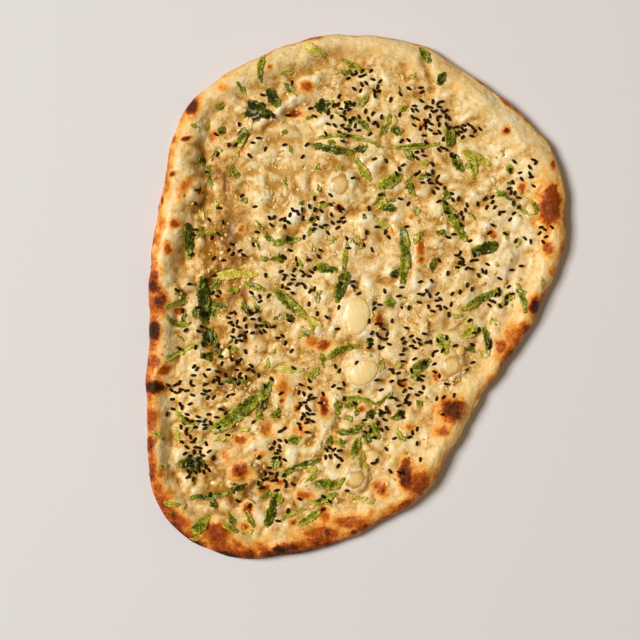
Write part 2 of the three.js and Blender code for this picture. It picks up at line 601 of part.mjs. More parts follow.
// The origin goes under the exact middle of the whole, on the table
const box = new THREE.Box3().setFromObject(naan, true);
const middle = box.getCenter(new THREE.Vector3());
naan.position.set(-middle.x, -middle.y, -box.min.z);

export default naan;
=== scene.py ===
# %% [markdown]
# # A garlic naan
# A naan is a soft, leavened flatbread. It is slapped on the wall of a very hot oven, where the rim puffs up
# and every bubble that stands proud is scorched. This one is brushed with butter and topped with chopped and
# sliced garlic, shreds of coriander and black nigella seeds.
#
# The frame holds the bread and its larger toppings as plain solids. Here the bread gets its real skin, each
# topping is modelled over its own solid, and the hundreds of small bits are added. Lengths are in metres,
# with +Z up and the origin on the table under the middle of the bread.

# %% Load the frame
import math
import bmesh
import bpy
import numpy as np
from mathutils import Matrix, Vector, noise
from mathutils.bvhtree import BVHTree
from mathutils.kdtree import KDTree


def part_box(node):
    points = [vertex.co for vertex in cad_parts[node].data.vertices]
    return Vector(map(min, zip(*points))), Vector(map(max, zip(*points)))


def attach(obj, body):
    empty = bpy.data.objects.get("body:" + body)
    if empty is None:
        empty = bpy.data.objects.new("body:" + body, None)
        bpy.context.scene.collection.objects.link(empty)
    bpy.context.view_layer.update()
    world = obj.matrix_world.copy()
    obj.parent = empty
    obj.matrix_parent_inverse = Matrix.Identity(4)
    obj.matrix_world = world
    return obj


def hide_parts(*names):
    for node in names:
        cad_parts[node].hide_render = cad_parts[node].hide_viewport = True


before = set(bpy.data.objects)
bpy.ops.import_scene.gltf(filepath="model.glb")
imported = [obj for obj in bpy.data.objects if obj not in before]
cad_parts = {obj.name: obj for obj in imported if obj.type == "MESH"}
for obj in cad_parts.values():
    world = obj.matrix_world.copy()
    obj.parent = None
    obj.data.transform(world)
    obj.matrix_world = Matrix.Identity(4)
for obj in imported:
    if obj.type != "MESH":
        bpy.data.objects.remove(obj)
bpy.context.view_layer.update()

MM = 0.001
bread_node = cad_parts["bread"]

# %% [markdown]
# ## Floor, light and camera
# The bread is looked at from straight above, so the camera hangs over it and looks down. A long lens keeps
# the rim from leaning outwards. A large lamp far off on the left, a little towards the top of the picture,
# lights the whole bread evenly and gives every bubble a lit side and a soft shadow. A weak warm one on the
# right and a warm glow from all round keep the shadows open.

# %% Floor, light and camera
VIEW_WIDTH = 313.6 * MM  # what the picture's width covers at the height of the bread
VIEW_MIDDLE = (-17.4 * MM, -11.5 * MM, 5 * MM)
LENS = 85
SENSOR = 36
FLOOR_SIZE = 4
FLOOR_DROP = 0.1 * MM  # the floor lies this far under the bread
FLOOR_COLOUR = (0.74, 0.73, 0.71, 1)
FLOOR_ROUGHNESS = 0.8
# name, place, width, power in watts and colour
LAMPS = [
    ("key", (-2.0, 0.44, 2.7), 1.2, 122, (0.98, 0.955, 0.97)),
    ("fill", (0.6, -0.1, 0.6), 0.8, 0.9, (1, 0.76, 0.48)),
]
GLOW_COLOUR = (1, 0.82, 0.56, 1)
GLOW_STRENGTH = 0.09


def deselect():
    for obj in bpy.context.selected_objects:
        obj.select_set(False)


def activate(obj):
    """Makes one object the only selected one, on which operators work."""
    deselect()
    obj.select_set(True)
    bpy.context.view_layer.objects.active = obj


def modify(obj, kind, **settings):
    """Gives an object one modifier with these settings and applies it."""
    activate(obj)
    modifier = obj.modifiers.new(kind.lower(), kind)
    for name, value in settings.items():
        setattr(modifier, name, value)
    bpy.ops.object.modifier_apply(modifier=modifier.name)


def area_lamp(name, place, size, power, colour):
    """Hangs a square lamp in a place and points it at the bread."""
    lamp = bpy.data.lights.new(name, "AREA")
    lamp.size = size
    lamp.energy = power
    lamp.color = colour
    obj = bpy.data.objects.new(name, lamp)
    obj.location = place
    obj.rotation_euler = (Vector(VIEW_MIDDLE) - Vector(place)).to_track_quat("-Z", "Y").to_euler()
    bpy.context.scene.collection.objects.link(obj)


deselect()
bpy.ops.mesh.primitive_plane_add(size=FLOOR_SIZE, location=(0, 0, -FLOOR_DROP))
floor = bpy.context.object
floor.name = "floor"
floor_paint = bpy.data.materials.new("pale_floor")
floor_paint.use_nodes = True
floor_surface = floor_paint.node_tree.nodes["Principled BSDF"]
floor_surface.inputs["Base Color"].default_value = FLOOR_COLOUR
floor_surface.inputs["Roughness"].default_value = FLOOR_ROUGHNESS
floor.data.materials.append(floor_paint)

for lamp in LAMPS:
    area_lamp(*lamp)
world = bpy.data.worlds.new("studio")
world.use_nodes = True
glow = world.node_tree.nodes["Background"]
glow.inputs["Color"].default_value = GLOW_COLOUR
glow.inputs["Strength"].default_value = GLOW_STRENGTH
bpy.context.scene.world = world
bpy.context.scene.view_settings.view_transform = "Standard"

camera = bpy.data.objects.new("camera", bpy.data.cameras.new("camera"))
camera.data.lens = LENS
camera.data.sensor_width = SENSOR
camera.location = Vector(VIEW_MIDDLE) + Vector((0, 0, VIEW_WIDTH * LENS / SENSOR))
bpy.context.scene.collection.objects.link(camera)
bpy.context.scene.camera = camera
print("camera hangs", round(camera.location.z, 3), "m above the table")

# %% [markdown]
# ## Shader maths as Python
# A material is a graph of small nodes. Wired by hand it soon becomes hard to read, so a socket is wrapped in
# a class whose operators add the Math nodes: `1 - mask * 0.5` then reads as what it does.

# %% A small language for materials
NOISE_ROUGHNESS = 0.55  # how strong the finer octaves of every noise are


class Wire:
    """One output socket of a material, which takes part in sums."""

    def __init__(self, shader, socket):
        self.shader = shader
        self.socket = socket

    def maths(self, operation, *values):
        settings = {"operation": operation}
        return self.shader.node("ShaderNodeMath", settings, dict(enumerate(values)))

    def __add__(self, other):
        return self.maths("ADD", self, other)

    def __sub__(self, other):
        return self.maths("SUBTRACT", self, other)

    def __rsub__(self, other):
        return self.maths("SUBTRACT", other, self)

    def __mul__(self, other):
        return self.maths("MULTIPLY", self, other)

    __radd__ = __add__
    __rmul__ = __mul__

    def between(self, low, high):
        """0 below low, 1 above high, and a soft step between them."""
        settings = {"interpolation_type": "SMOOTHSTEP"}
        return self.shader.node("ShaderNodeMapRange", settings, {"Value": self, 1: low, 2: high})


class Shader:
    """A material with one Principled surface, and what is wired into it."""

    def __init__(self, name, **constants):
        self.material = bpy.data.materials.new(name)
        self.material.use_nodes = True
        self.tree = self.material.node_tree
        self.surface = self.tree.nodes["Principled BSDF"]
        for socket, value in constants.items():
            self.surface.inputs[socket.replace("_", " ")].default_value = value
        self.place = self.node("ShaderNodeTexCoord", output="Object")

    def node(self, kind, settings=None, inputs=None, output=0):
        """Adds one node, wires or sets its inputs, and gives one of its outputs."""
        made = self.tree.nodes.new(kind)
        for name, value in (settings or {}).items():
            if name == "stops":
                self.set_stops(made.color_ramp, value)
            else:
                setattr(made, name, value)
        for name, value in (inputs or {}).items():
            if isinstance(value, Wire):
                self.tree.links.new(value.socket, made.inputs[name])
            else:
                made.inputs[name].default_value = value
        return Wire(self, made.outputs[output])

    @staticmethod
    def set_stops(ramp, stops):
        for element, (position, colour) in zip(ramp.elements, (stops[0], stops[-1])):
            element.position = position
            element.color = colour
        for position, colour in stops[1:-1]:
            ramp.elements.new(position).color = colour

    def attribute(self, name):
        """A number that was painted on the corners of the mesh."""
        return self.node("ShaderNodeAttribute", {"attribute_name": name}, output="Fac")

    def grain(self, size, detail):
        """Noise from 0 to 1 with features of about this size, and finer ones by the detail."""
        inputs = {"Vector": self.place, "Scale": 1 / size, "Detail": detail, "Roughness": NOISE_ROUGHNESS}
        return self.node("ShaderNodeTexNoise", None, inputs)

    def cells(self, size, feature="F1"):
        """Distances in a pattern of irregular cells of about this size."""
        inputs = {"Vector": self.place, "Scale": 1 / size}
        return self.node("ShaderNodeTexVoronoi", {"feature": feature}, inputs, output="Distance")

    def blend(self, share, first, second):
        """The first colour where the share is 0, the second where it is 1."""
        return self.node("ShaderNodeMix", {"data_type": "RGBA"}, {0: share, 6: first, 7: second}, output=2)

    def ramp(self, value, stops):
        return self.node("ShaderNodeValToRGB", {"stops": stops}, {"Fac": value})

    def bump(self, height, distance):
        """Shading as if a height of 1 stood up by this distance."""
        return self.node("ShaderNodeBump", None, {"Distance": distance, "Height": height}, output="Normal")

    def feed(self, **wires):
        """Wires values into the surface, and gives the finished material."""
        for socket, wire in wires.items():
            self.tree.links.new(wire.socket, self.surface.inputs[socket.replace("_", " ")])
        return self.material


def tone(red, green, blue):
    """A colour as it looks on a screen, 0 to 255, as the linear light that shaders use."""
    shares = [value / 255 for value in (red, green, blue)]
    return (*[s / 12.92 if s < 0.04045 else ((s + 0.055) / 1.055) ** 2.4 for s in shares], 1)


print("shader language ready")

# %% [markdown]
# ## The edge of the bread
# Everything on the bread depends on how far it lies inside the edge. The edge is read off the solid: rays
# are shot at it from all sides, at a few heights, and the widest hit counts.

# %% Find the edge
EDGE_RAYS = 720
EDGE_HEIGHTS = [height * MM for height in (3.4, 3.8, 4.2, 4.6, 5)]
OUTSIDE = 0.2  # the rays start this far from the middle

solid_tree = BVHTree.FromObject(bread_node, bpy.context.evaluated_depsgraph_get())


def widest(angle):
    """How far out the solid reaches in one direction, and at what height."""
    out = Vector((math.cos(angle), math.sin(angle), 0))
    hits = [solid_tree.ray_cast(out * OUTSIDE + Vector((0, 0, z)), -out)[0] for z in EDGE_HEIGHTS]
    best = max((h for h in hits if h), key=lambda h: math.hypot(h.x, h.y))
    return math.hypot(best.x, best.y), best.z


edge_angles = np.linspace(-math.pi, math.pi, EDGE_RAYS, endpoint=False)
edge_reach, edge_height = np.array([widest(a) for a in edge_angles]).T
edge_finder = KDTree(EDGE_RAYS)
for n, (angle, reach) in enumerate(zip(edge_angles, edge_reach)):
    edge_finder.insert((reach * math.cos(angle), reach * math.sin(angle), 0), n)
edge_finder.balance()


def around(angle, values):
    """Values that are known all round the edge, read off at any angle."""
    return np.interp(angle, edge_angles, values, period=2 * math.pi)


def depth_inside(x, y):
    """How far points lie inside the edge."""
    return np.array([edge_finder.find((a, b, 0))[2] for a, b in zip(x, y)])


print("the edge lies", round(edge_reach.min() / MM), "to", round(edge_reach.max() / MM), "mm from the middle")

# %% [markdown]
# ## The bread's skin
# A square grid is the easiest start for an uneven sheet: it is extruded into a slab, its top is cut three
# times finer than its underside, and then every corner of it is moved. The square becomes a disc and the
# disc the bread's outline, with its rows crowded towards the edge, where the skin turns over.

# %% Cut a slab to the outline
COARSE_CELLS = 96
TOP_CUTS = 2
SLAB = 1  # the grid's thickness before its corners are moved
CROWDING = 1.25  # 1 spaces the rows evenly, more crowds them towards the edge
ROUNDING = 9 * MM  # the underside curls up over this distance
TUCK = 0.35 * MM  # the underside's first ring lies this far inside the edge

deselect()
bpy.ops.mesh.primitive_grid_add(x_subdivisions=COARSE_CELLS, y_subdivisions=COARSE_CELLS, size=2)
bread = bpy.context.object
bread.name = "naan_bread"
bpy.ops.object.mode_set(mode="EDIT")
bpy.ops.mesh.extrude_region_move(TRANSFORM_OT_translate={"value": (0, 0, -SLAB)})
bpy.ops.mesh.select_all(action="SELECT")
bpy.ops.mesh.normals_make_consistent(inside=False)
bpy.ops.mesh.select_all(action="DESELECT")
bpy.ops.mesh.select_mode(type="FACE")
bpy.ops.object.mode_set(mode="OBJECT")
for face in bread.data.polygons:
    face.select = face.normal.z > 0.5
bpy.ops.object.mode_set(mode="EDIT")
bpy.ops.mesh.subdivide(number_cuts=TOP_CUTS)
bpy.ops.object.mode_set(mode="OBJECT")


def corners_of(obj):
    """The places of a mesh's corners, one row for each."""
    flat = np.empty(3 * len(obj.data.vertices))
    obj.data.vertices.foreach_get("co", flat)
    return flat.reshape(-1, 3)


def move_corners(obj, corners):
    """Puts every corner of a mesh in a new place."""
    obj.data.vertices.foreach_set("co", np.ascontiguousarray(corners).ravel())
    obj.data.update()


def smooth_step(low, high, value):
    """0 below low, 1 above high, and a soft step between them."""
    share = np.clip((value - low) / (high - low), 0, 1)
    return share * share * (3 - 2 * share)


corners = corners_of(bread)
on_top = corners[:, 2] > -SLAB / 2
u, v = [np.sign(t) * (1 - (1 - np.clip(np.abs(t), 0, 1)) ** CROWDING) for t in corners[:, :2].T]
disc_x = u * np.sqrt(1 - v * v / 2)
disc_y = v * np.sqrt(1 - u * u / 2)
angle = np.arctan2(disc_y, disc_x)
share = np.hypot(disc_x, disc_y)
reach = around(angle, edge_reach) - np.where(on_top, 0, TUCK)
x, y = reach * share * np.cos(angle), reach * share * np.sin(angle)
depth = depth_inside(x, y)
print("the skin has", len(bread.data.polygons), "faces")

# %% [markdown]
# The top then drops onto the solid, which has facets some four millimetres across and a few seeds in it.
# Smoothing the heights alone washes both out and leaves the outline as it is.

# %% Drop the top onto the solid
ABOVE = 0.05  # rays fall from this height
DOWN = Vector((0, 0, -1))
INWARD = 0.997  # rays fall a hair inside the edge, so that none misses
OUTERMOST = 0.9999  # corners farther out than this share lie on the edge itself
SMOOTHED = (0.2 * MM, 2.5 * MM)  # smoothing starts and is full this far inside the edge
SMOOTHING_ROUNDS = 26

rim_height = around(angle, edge_height)
fallen = []
for a, b, edge_z, r in zip(x, y, rim_height, share):
    hit = solid_tree.ray_cast(Vector((a * INWARD, b * INWARD, ABOVE)), DOWN)[0]
    fallen.append(edge_z if r > OUTERMOST or not hit else hit.z)
curl = 1 - np.sqrt(1 - (1 - np.clip(depth / ROUNDING, 0, 1)) ** 2)
z = np.where(on_top, fallen, rim_height * curl)
move_corners(bread, np.column_stack([x, y, z]))

inland = bread.vertex_groups.new(name="inland")
for n in np.flatnonzero(on_top & (depth > SMOOTHED[0])):
    inland.add([int(n)], min(1.0, float(depth[n] / SMOOTHED[1])), "REPLACE")
modify(bread, "SMOOTH", iterations=SMOOTHING_ROUNDS, use_x=False, use_y=False, vertex_group=inland.name)
base = corners_of(bread)[:, 2]
print("the top runs from", round(base[on_top].min() / MM, 1), "to", round(base[on_top].max() / MM, 1), "mm")

# %% [markdown]
# ## Swollen dough
# The middle of a naan is pressed with the fingertips before it is baked, and swells back into soft lumps of
# all sizes with creases between them. Rows of Voronoi cells give such pillows if their pattern is first
# pushed about by noise, so that no two are alike. Three sizes are laid over each other, strongest in the
# middle and faint on the rim, which stays smooth because it is blown up from inside. The deepest folds are
# listed one by one.

# %% Swell the dough
LUMPS = [(16, 1.75), (8, 1.15), (3.6, 0.2)]  # width and height in millimetres
SWELLS = (34, 0.6)  # the same for broad waves under the lumps
RIM_SHARE = 0.16  # how much of the lumps is left on the rim
MIDDLE_DEPTHS = (5.5 * MM, 16 * MM)  # where the rim ends and the middle is fully reached
WARP = 0.35  # how far noise pushes the cells about, as a share of their width
PILLOW_STEEPNESS = 1.5
DRAWN_TOWARDS = math.radians(62)  # the dough was stretched this way, so its lumps are longer along it
DRAWN = 1.15
EDGE_FADE = 2.5 * MM  # the relief fades out over this distance from the edge
FOLD_STRAY = (9, 1.5)  # folds wander in waves of this width by this much, in millimetres
# runs of points in millimetres, how far each fold rises or sinks, and its half width
FOLDS = [
    ([(-75, 74), (-74, 58), (-73, 40), (-72, 24)], -2.0, 3.2),
    ([(-72, 22), (-70, 5), (-70, -12), (-68, -27)], -2.2, 4.5),
    ([(-83, 30), (-84, 14), (-86, 4)], -0.9, 2.5),
    ([(-93, -40), (-92, -60), (-92, -80), (-88, -96)], -0.5, 4),
    ([(34, 117), (35, 108), (37, 102)], -2.0, 2),
    ([(-56, 78), (-42, 88), (-27, 97)], 1.8, 3.2),
    ([(-58, 74), (-44, 83), (-28, 91)], -1.6, 3),
    ([(66, -8), (58, -24), (50, -40)], -0.8, 3),
    ([(-60, -100), (-40, -108), (-20, -106), (0, -100)], -0.8, 3),
]


def drift(spot):
    """A soft push to one side, different at every place."""
    return Vector([noise.noise(spot + Vector((0, 0, 17.3 * n))) for n in range(3)])


def pillows(x, y, width, seed):
    """Soft domes of about one width with creases between them, from 0 to 1."""
    along = (x * math.cos(DRAWN_TOWARDS) + y * math.sin(DRAWN_TOWARDS)) / DRAWN
    across = y * math.cos(DRAWN_TOWARDS) - x * math.sin(DRAWN_TOWARDS)
    domes = []
    for a, b in zip(along, across):
        spot = Vector((a / width, b / width, seed))
        spot += WARP * drift(0.8 * spot)
        nearest = noise.voronoi(spot)[0]
        domes.append(PILLOW_STEEPNESS * (nearest[1] - nearest[0]))
    return smooth_step(0, 1, np.array(domes))


def waves(x, y, width, seed, octaves=2):
    """Soft noise, about -1 to 1, with waves of about one width. Each seed gives another pattern."""
    spots = [(a / width, b / width, seed) for a, b in zip(x, y)]
    return np.array([noise.fractal(spot, 0.9, 2.0, octaves) for spot in spots])


def run_distance(x, y, run):
    """How far points lie from a run of straight lines, given in millimetres."""
    return np.min([line_distance(x, y, *ends) for ends in zip(run, run[1:])], axis=0)


def line_distance(x, y, start, end):
    """How far points lie from one straight line, given in millimetres."""
    start, end = np.array(start) * MM, np.array(end) * MM
    step = end - start
    share = np.clip(((x - start[0]) * step[0] + (y - start[1]) * step[1]) / (step @ step), 0, 1)
    return np.hypot(x - start[0] - share * step[0], y - start[1] - share * step[1])


middle = smooth_step(*MIDDLE_DEPTHS, depth)
edge_fade = smooth_step(0, EDGE_FADE, depth)
relief = sum(height * (pillows(x, y, width * MM, n) - 0.5) for n, (width, height) in enumerate(LUMPS))
relief = relief * (RIM_SHARE + (1 - RIM_SHARE) * middle)
relief += SWELLS[1] * waves(x, y, SWELLS[0] * MM, 9)
wander = FOLD_STRAY[1] * MM * waves(x, y, FOLD_STRAY[0] * MM, 11)
for run, rise, half_width in FOLDS:
    relief += rise * np.exp(-((run_distance(x + wander, y - wander, run) / (half_width * MM)) ** 2))
print("the lumps rise and fall", round(float(np.ptp(relief[on_top])), 2), "mm")

# %% [markdown]
# ## Scorch marks
# Where a bubble touches hot air first it goes golden, then brown, then black. Each mark seen on this naan
# is an uneven oval with a peak heat, and its heat falls off outwards: one colour ramp on heat then gives
# the black heart, the brown ring and the golden halo by itself.

# %% List the scorch marks
# x, y, half length and half width in millimetres, turn in degrees, and heat from 0 to 1
SCORCH_MARKS = [
    # the second mark on the next line, at -82.6, 76.7, is painted shadow: the dark inside a deep fold, drawn
    # as char
    (-79.7, 92.4, 3.4, 5.9, -25, 0.86), (-82.6, 76.7, 3.2, 1.2, 10, 0.97),
    (-89.2, 59.5, 2, 1.5, 20, 0.85), (-83.1, 53.7, 2.5, 4.9, -30, 0.5),
    (-76.2, 51.7, 0.7, 2.5, -15, 0.72), (-94.4, 46.8, 0.7, 2.2, 0, 0.74), (-88, 35, 2.5, 2.5, 0, 0.68),
    (-91.4, 22.8, 2.2, 3.2, 10, 0.6), (-98.3, 10, 3, 3.2, 0, 0.72), (-99, 5.1, 4.4, 4.2, 0, 0.88),
    (-95.6, -2.5, 4.4, 4.6, 0, 0.82), (-98.6, -16.9, 4, 7, 0, 0.94), (-98.2, -32.1, 3.4, 4, 0, 0.6),
    (-93.4, -36, 3.7, 2.5, 20, 0.62), (-98.6, -43.9, 6.2, 4.2, 0, 0.95), (-99.2, -61, 3, 7.6, 0, 0.62),
    (-100.3, -70.3, 2.2, 2.2, 0, 0.78), (-86.5, -7.1, 2.2, 1.7, 0, 0.62),
    (-56.6, -85.5, 4.8, 4.6, 0, 0.66), (-58, -84.4, 0.9, 0.9, 0, 0.95), (-56.3, -86.4, 0.9, 0.9, 0, 0.95),
    (-56.2, -70.3, 3.7, 2.7, 0, 0.58), (-15.7, -52.7, 2, 5.9, 8, 0.78),
    (-35.6, -44.3, 2.9, 4.4, -10, 0.47), (-36.1, -50.7, 1.2, 1.7, 0, 0.8),
    (-28.7, -54.6, 1.5, 2, 20, 0.62), (-43.9, -64.9, 3.4, 3.4, 0, 0.46), (-44.5, -93.8, 3.7, 2, 10, 0.62),
    (-37, -90.9, 2.7, 1.7, 0, 0.56), (-25.3, -97.3, 4.2, 2, 0, 0.56), (-52.7, -103.6, 2.7, 2.7, 0, 0.64),
    (-54.2, -112.5, 2.2, 2, 0, 0.56), (-86, -109, 5.4, 3.7, -30, 0.62),
    (-67.9, -114.9, 7.3, 4.9, -15, 0.66), (-96.3, -93.8, 2.9, 4.4, 0, 0.56),
    (-95.4, -86, 2.2, 2.9, 0, 0.5), (-62.5, -126.2, 8.3, 1.5, -8, 1), (-37.5, -123.2, 2.9, 2.7, 0, 0.98),
    (-30.7, -121.8, 5.4, 2.2, 0, 0.8), (-16.5, -115.4, 10.8, 3.9, 5, 0.6),
    (-15.5, -107.1, 2.9, 4.9, 0, 0.54), (-14, -114.9, 2, 2.5, 0, 0.86), (-0.8, -114.9, 2, 2, 0, 0.85),
    (4.6, -112, 2, 1.7, 0, 0.82), (-3.2, -110.5, 9.8, 3.4, 5, 0.6), (12.4, -93.3, 3.8, 3.4, 0, 0.58),
    (13.4, -94.8, 1.2, 1.2, 0, 0.84),
    (24.7, -87.6, 4.4, 8.4, 10, 0.82), (23.2, -89.4, 1.6, 2.6, 0, 0.88), (30.6, -91, 7.4, 7, 0, 0.62),
    (23.7, -101.7, 6.4, 2.7, 35, 0.62), (24.7, -81.1, 2.9, 2.5, 0, 0.7), (46.7, -55.6, 6.6, 6.2, 0, 0.84),
    (42.8, -65.9, 3.7, 2.9, 0, 0.6), (87.2, -4.9, 4.2, 4.7, -10, 0.9), (93.8, 23.3, 2.7, 3.7, 0, 0.62),
    (71, -24.7, 3.2, 4.9, -30, 0.6), (76.6, -18.9, 6.4, 3.7, 50, 0.5), (94.8, 44.5, 6.2, 11.5, 0, 0.7),
    (95.7, 41.9, 3.7, 3.9, 0, 0.76), (96.2, 64.4, 1.5, 2.9, 0, 0.62), (73, 80.6, 2, 2, 0, 0.84),
    (61.9, 89.4, 2, 2.9, 0, 0.25), (77.6, 72.3, 2, 1.5, 0, 0.25), (50.7, 100.7, 2.9, 2.9, 0, 0.25),
    (27.6, 113.4, 2.7, 2.2, 0, 0.25), (2.6, 117.4, 2, 2.5, 0, 0.25), (10.5, 120.3, 2.5, 2.5, 0, 0.25),
    (58.5, 76.2, 2, 2, 0, 0.25), (32, 83.5, 1.7, 1.5, 0, 0.54), (18.3, 32.6, 1.5, 3.2, 0, 0.46),
    (26.7, 39, 2, 1.5, 0, 0.48), (11.5, -12, 2.2, 3.4, 0, 0.64), (23.2, -43.1, 2.2, 2.2, 0, 0.56),
    (39.4, -39.4, 2.2, 2.5, 0, 0.56), (26.7, -63.9, 2.7, 1.7, 0, 0.54), (2.6, -55.1, 2.2, 1.5, 0, 0.64),
    (32, 23.8, 2, 4.2, 0, 0.58), (31.6, 17.9, 1.7, 1.7, 0, 0.58), (67.3, 30.1, 1.7, 2, 0, 0.56),
    (81.5, 53.2, 2, 2.7, 0, 0.6), (-41.9, 112, 1.2, 1.2, 0, 0.56), (-23.8, 102.7, 2.9, 2.5, 0, 0.62),
    (-29.4, 89.4, 3.7, 2, 5, 0.72), (-55.7, 72.3, 1.5, 2.5, 0, 0.55), (-69.9, 78.6, 1.7, 2.9, 0, 0.5),
    (-64.5, 101.7, 2.7, 2.2, 0, 0.4), (-8.4, 43.6, 2, 1.7, 0, 0.84), (-55.7, 33.1, 1.5, 1.5, 0, 0.5),
    (-15.7, -23.8, 3.7, 2.7, 0, 0.64), (-21.4, -21.8, 2.9, 3.4, 0, 0.46), (7.5, 128.6, 2.7, 1.2, 0, 0.82),
    (-22.3, 126.2, 8.3, 1.2, 8, 0.56), (46.3, 115.9, 5.9, 1.2, -30, 0.62),
    (61, 105.1, 6.4, 1.2, -38, 0.56), (73.2, 94.8, 5.4, 1.2, -43, 0.56),
    (-30.2, -110.5, 2.2, 1.7, 0, 0.54), (-46.8, -77.7, 2.9, 2, 30, 0.46),
    (-27.2, -65.4, 3.4, 2.9, 0, 0.44), (-10.1, -70.3, 2.5, 2.5, 0, 0.44),
    (-63.5, -77.7, 2, 3.4, 20, 0.42),
]
# direction seen from the middle in degrees, heat at the edge, and how far in it reaches in millimetres
TOASTED_EDGE = [
    (-180, 0.54, 12), (-165, 0.5, 12), (-150, 0.54, 13), (-135, 0.66, 15), (-115, 0.74, 17),
    (-100, 0.74, 16), (-85, 0.54, 13), (-70, 0.42, 11), (-50, 0.3, 5), (-20, 0.54, 9), (-12, 0.6, 10),
    (5, 0.5, 8), (20, 0.5, 7), (32, 0.34, 3), (48, 0.42, 3), (69, 0.42, 3), (90, 0.34, 3), (115, 0.34, 4),
    (145, 0.46, 8), (165, 0.54, 11), (174, 0.6, 12),
]
print(len(SCORCH_MARKS), "scorch marks")

# %% [markdown]
# Noise makes the marks ragged, and a faint mark gets a fainter halo. Apart from the marks, the edge is
# toasted as far in as the list says, the tops of the tallest lumps are browned and golden clouds lie on the
# rim. The side wall and the underside get less heat, so there the browning breaks up into spots.

# %% Heat the skin
RAGGED_MARKS = 0.42
MARK_EDGES = (0.5, 1.4)  # where a mark starts and stops fading, as shares of its size
BLISTER_EDGES = (0.35, 1.35)
HALO_HEAT = 0.38
HALO_SHARE = 0.8  # a halo is never hotter than this share of its mark
HALO_EDGES = (0.8, 2.4)
BLISTER_HEAT = 0.8  # marks as hot as this stand up as blisters
BLISTER_RISE = 0.16  # their height as a share of their smaller half
BLISTER_SIDES = (0.4, 1.3)
TOAST_STRAY = 0.75  # how unevenly the toasting reaches in
TOAST_PATCHES = (0.4, 0.45)  # how uneven its heat is, by fine and by broad noise
TIP_HEAT = 0.4
TIP_HEIGHTS = (0.4, 1.5)  # lumps are browned from the first height to the second, in millimetres
BLUSH_HEAT = 0.24  # golden clouds on the rim
UNDERSIDE_HEAT = 0.3
UNDERSIDE_SPOTS = 0.45
UNDERSIDE_RIM_HEAT = 0.2
WALL_PALER = 0.7  # how far the side wall's toasting breaks up
WALL_HEIGHTS = (0.3, 0.75)  # from the wall to the top, as shares of the edge's height
WALL_DEPTHS = (2 * MM, 4 * MM)


def mark_radius(x, y, mark):
    """How far out points lie, as a share of the mark's own size."""
    cx, cy, half_length, half_width, turn, _ = mark
    cos_turn, sin_turn = math.cos(math.radians(turn)), math.sin(math.radians(turn))
    along = ((x / MM - cx) * cos_turn + (y / MM - cy) * sin_turn) / half_length
    across = ((y / MM - cy) * cos_turn - (x / MM - cx) * sin_turn) / half_width
    return np.hypot(along, across)


def edge_value(x, y, column):
    """What the list of the toasted edge says for the directions of points."""
    turns = np.degrees(np.arctan2(y, x))
    listed = np.array(TOASTED_EDGE)
    return np.interp(turns, listed[:, 0], listed[:, column], period=360)


ragged = waves(x, y, 5 * MM, 3, octaves=3)
heat = np.zeros(len(x))
blisters = np.zeros(len(x))
for mark in SCORCH_MARKS:
    out = mark_radius(x, y, mark) * (1 + RAGGED_MARKS * ragged)
    edges = BLISTER_EDGES if mark[5] >= BLISTER_HEAT else MARK_EDGES
    heat = np.maximum(heat, mark[5] * (1 - smooth_step(*edges, out)))
    halo = min(HALO_HEAT, HALO_SHARE * mark[5])
    heat = np.maximum(heat, halo * (1 - smooth_step(*HALO_EDGES, out)))
    if mark[5] >= BLISTER_HEAT:
        rise = BLISTER_RISE * min(mark[2], mark[3])
        blisters = np.maximum(blisters, rise * (1 - smooth_step(*BLISTER_SIDES, out)))

toast_reach = edge_value(x, y, 2) * MM * (1 + TOAST_STRAY * waves(x, y, 11 * MM, 5))
toast = edge_value(x, y, 1) * (1 - smooth_step(0, 1, depth / toast_reach))
toast *= 1 + TOAST_PATCHES[0] * ragged + TOAST_PATCHES[1] * waves(x, y, 10 * MM, 31)
heat = np.maximum(heat, toast)
tips = TIP_HEAT * smooth_step(*TIP_HEIGHTS, relief) * smooth_step(-0.1, 0.5, waves(x, y, 18 * MM, 6))
blush = BLUSH_HEAT * (1 - middle) * smooth_step(0, 0.6, waves(x, y, 9 * MM, 15, octaves=3))
heat = np.maximum(heat, np.maximum(tips, blush))
wall = (1 - smooth_step(*WALL_HEIGHTS, base / rim_height)) * (1 - smooth_step(*WALL_DEPTHS, depth))
heat *= 1 - WALL_PALER * wall * smooth_step(-0.4, 0.4, waves(x + 1.3 * base, y + 0.9 * base, 5 * MM, 21))
spots = UNDERSIDE_HEAT + UNDERSIDE_SPOTS * waves(x, y, 12 * MM, 7, octaves=4)
spots += UNDERSIDE_RIM_HEAT * (1 - middle)
heat = np.clip(np.where(on_top | (depth < 3 * MM), heat, np.maximum(heat, spots)), 0, 1)
print("scorched over", round(100 * float((heat[on_top] > 0.4).mean())), "per cent of the top")

# %% [markdown]
# Round each slice of garlic the lumps are calmed, and the dough swells up to it as a soft, paler collar. The
# blisters stand up a little.
#
# Melted butter gathers wherever the skin is lower than its surroundings. How low it lies there is the
# height smoothed out, which the Smooth modifier gives on a copy of the skin, less the height itself. The same
# number colours the dough as painted shade: deeper places are darker and more golden, partly from butter and
# partly as painted shade in the creases, and the tops of the lumps are paler. Broad places get painted shade
# and painted light on top of that: darker behind the left rim and at the lower left, paler on the right and
# on the left rim's inner slope, which the lamp leaves in shade. The puffed rim is less mottled than the
# middle.

# %% Raise the skin and find where butter lies
UNDERSIDE_RELIEF = 0.35
SLICE_CALM = (0.8, 1.5)  # lumps start and are full at these many times a garlic slice's size
COLLARS = [1.2, 1.2, 1.9, 1.6, 1.8]  # millimetres by which the dough swelled up round each slice
COLLAR_REACH = 1.8
COLLAR_UNEVEN = 0.16
COLLAR_PALER = 0.06  # the swollen dough is a little paler
LEVELLING_ROUNDS = 40
POOL_DEPTHS = (0.15, 0.9)
POOL_DEEPER = 0.6  # how much deeper the listed pools count than they lie
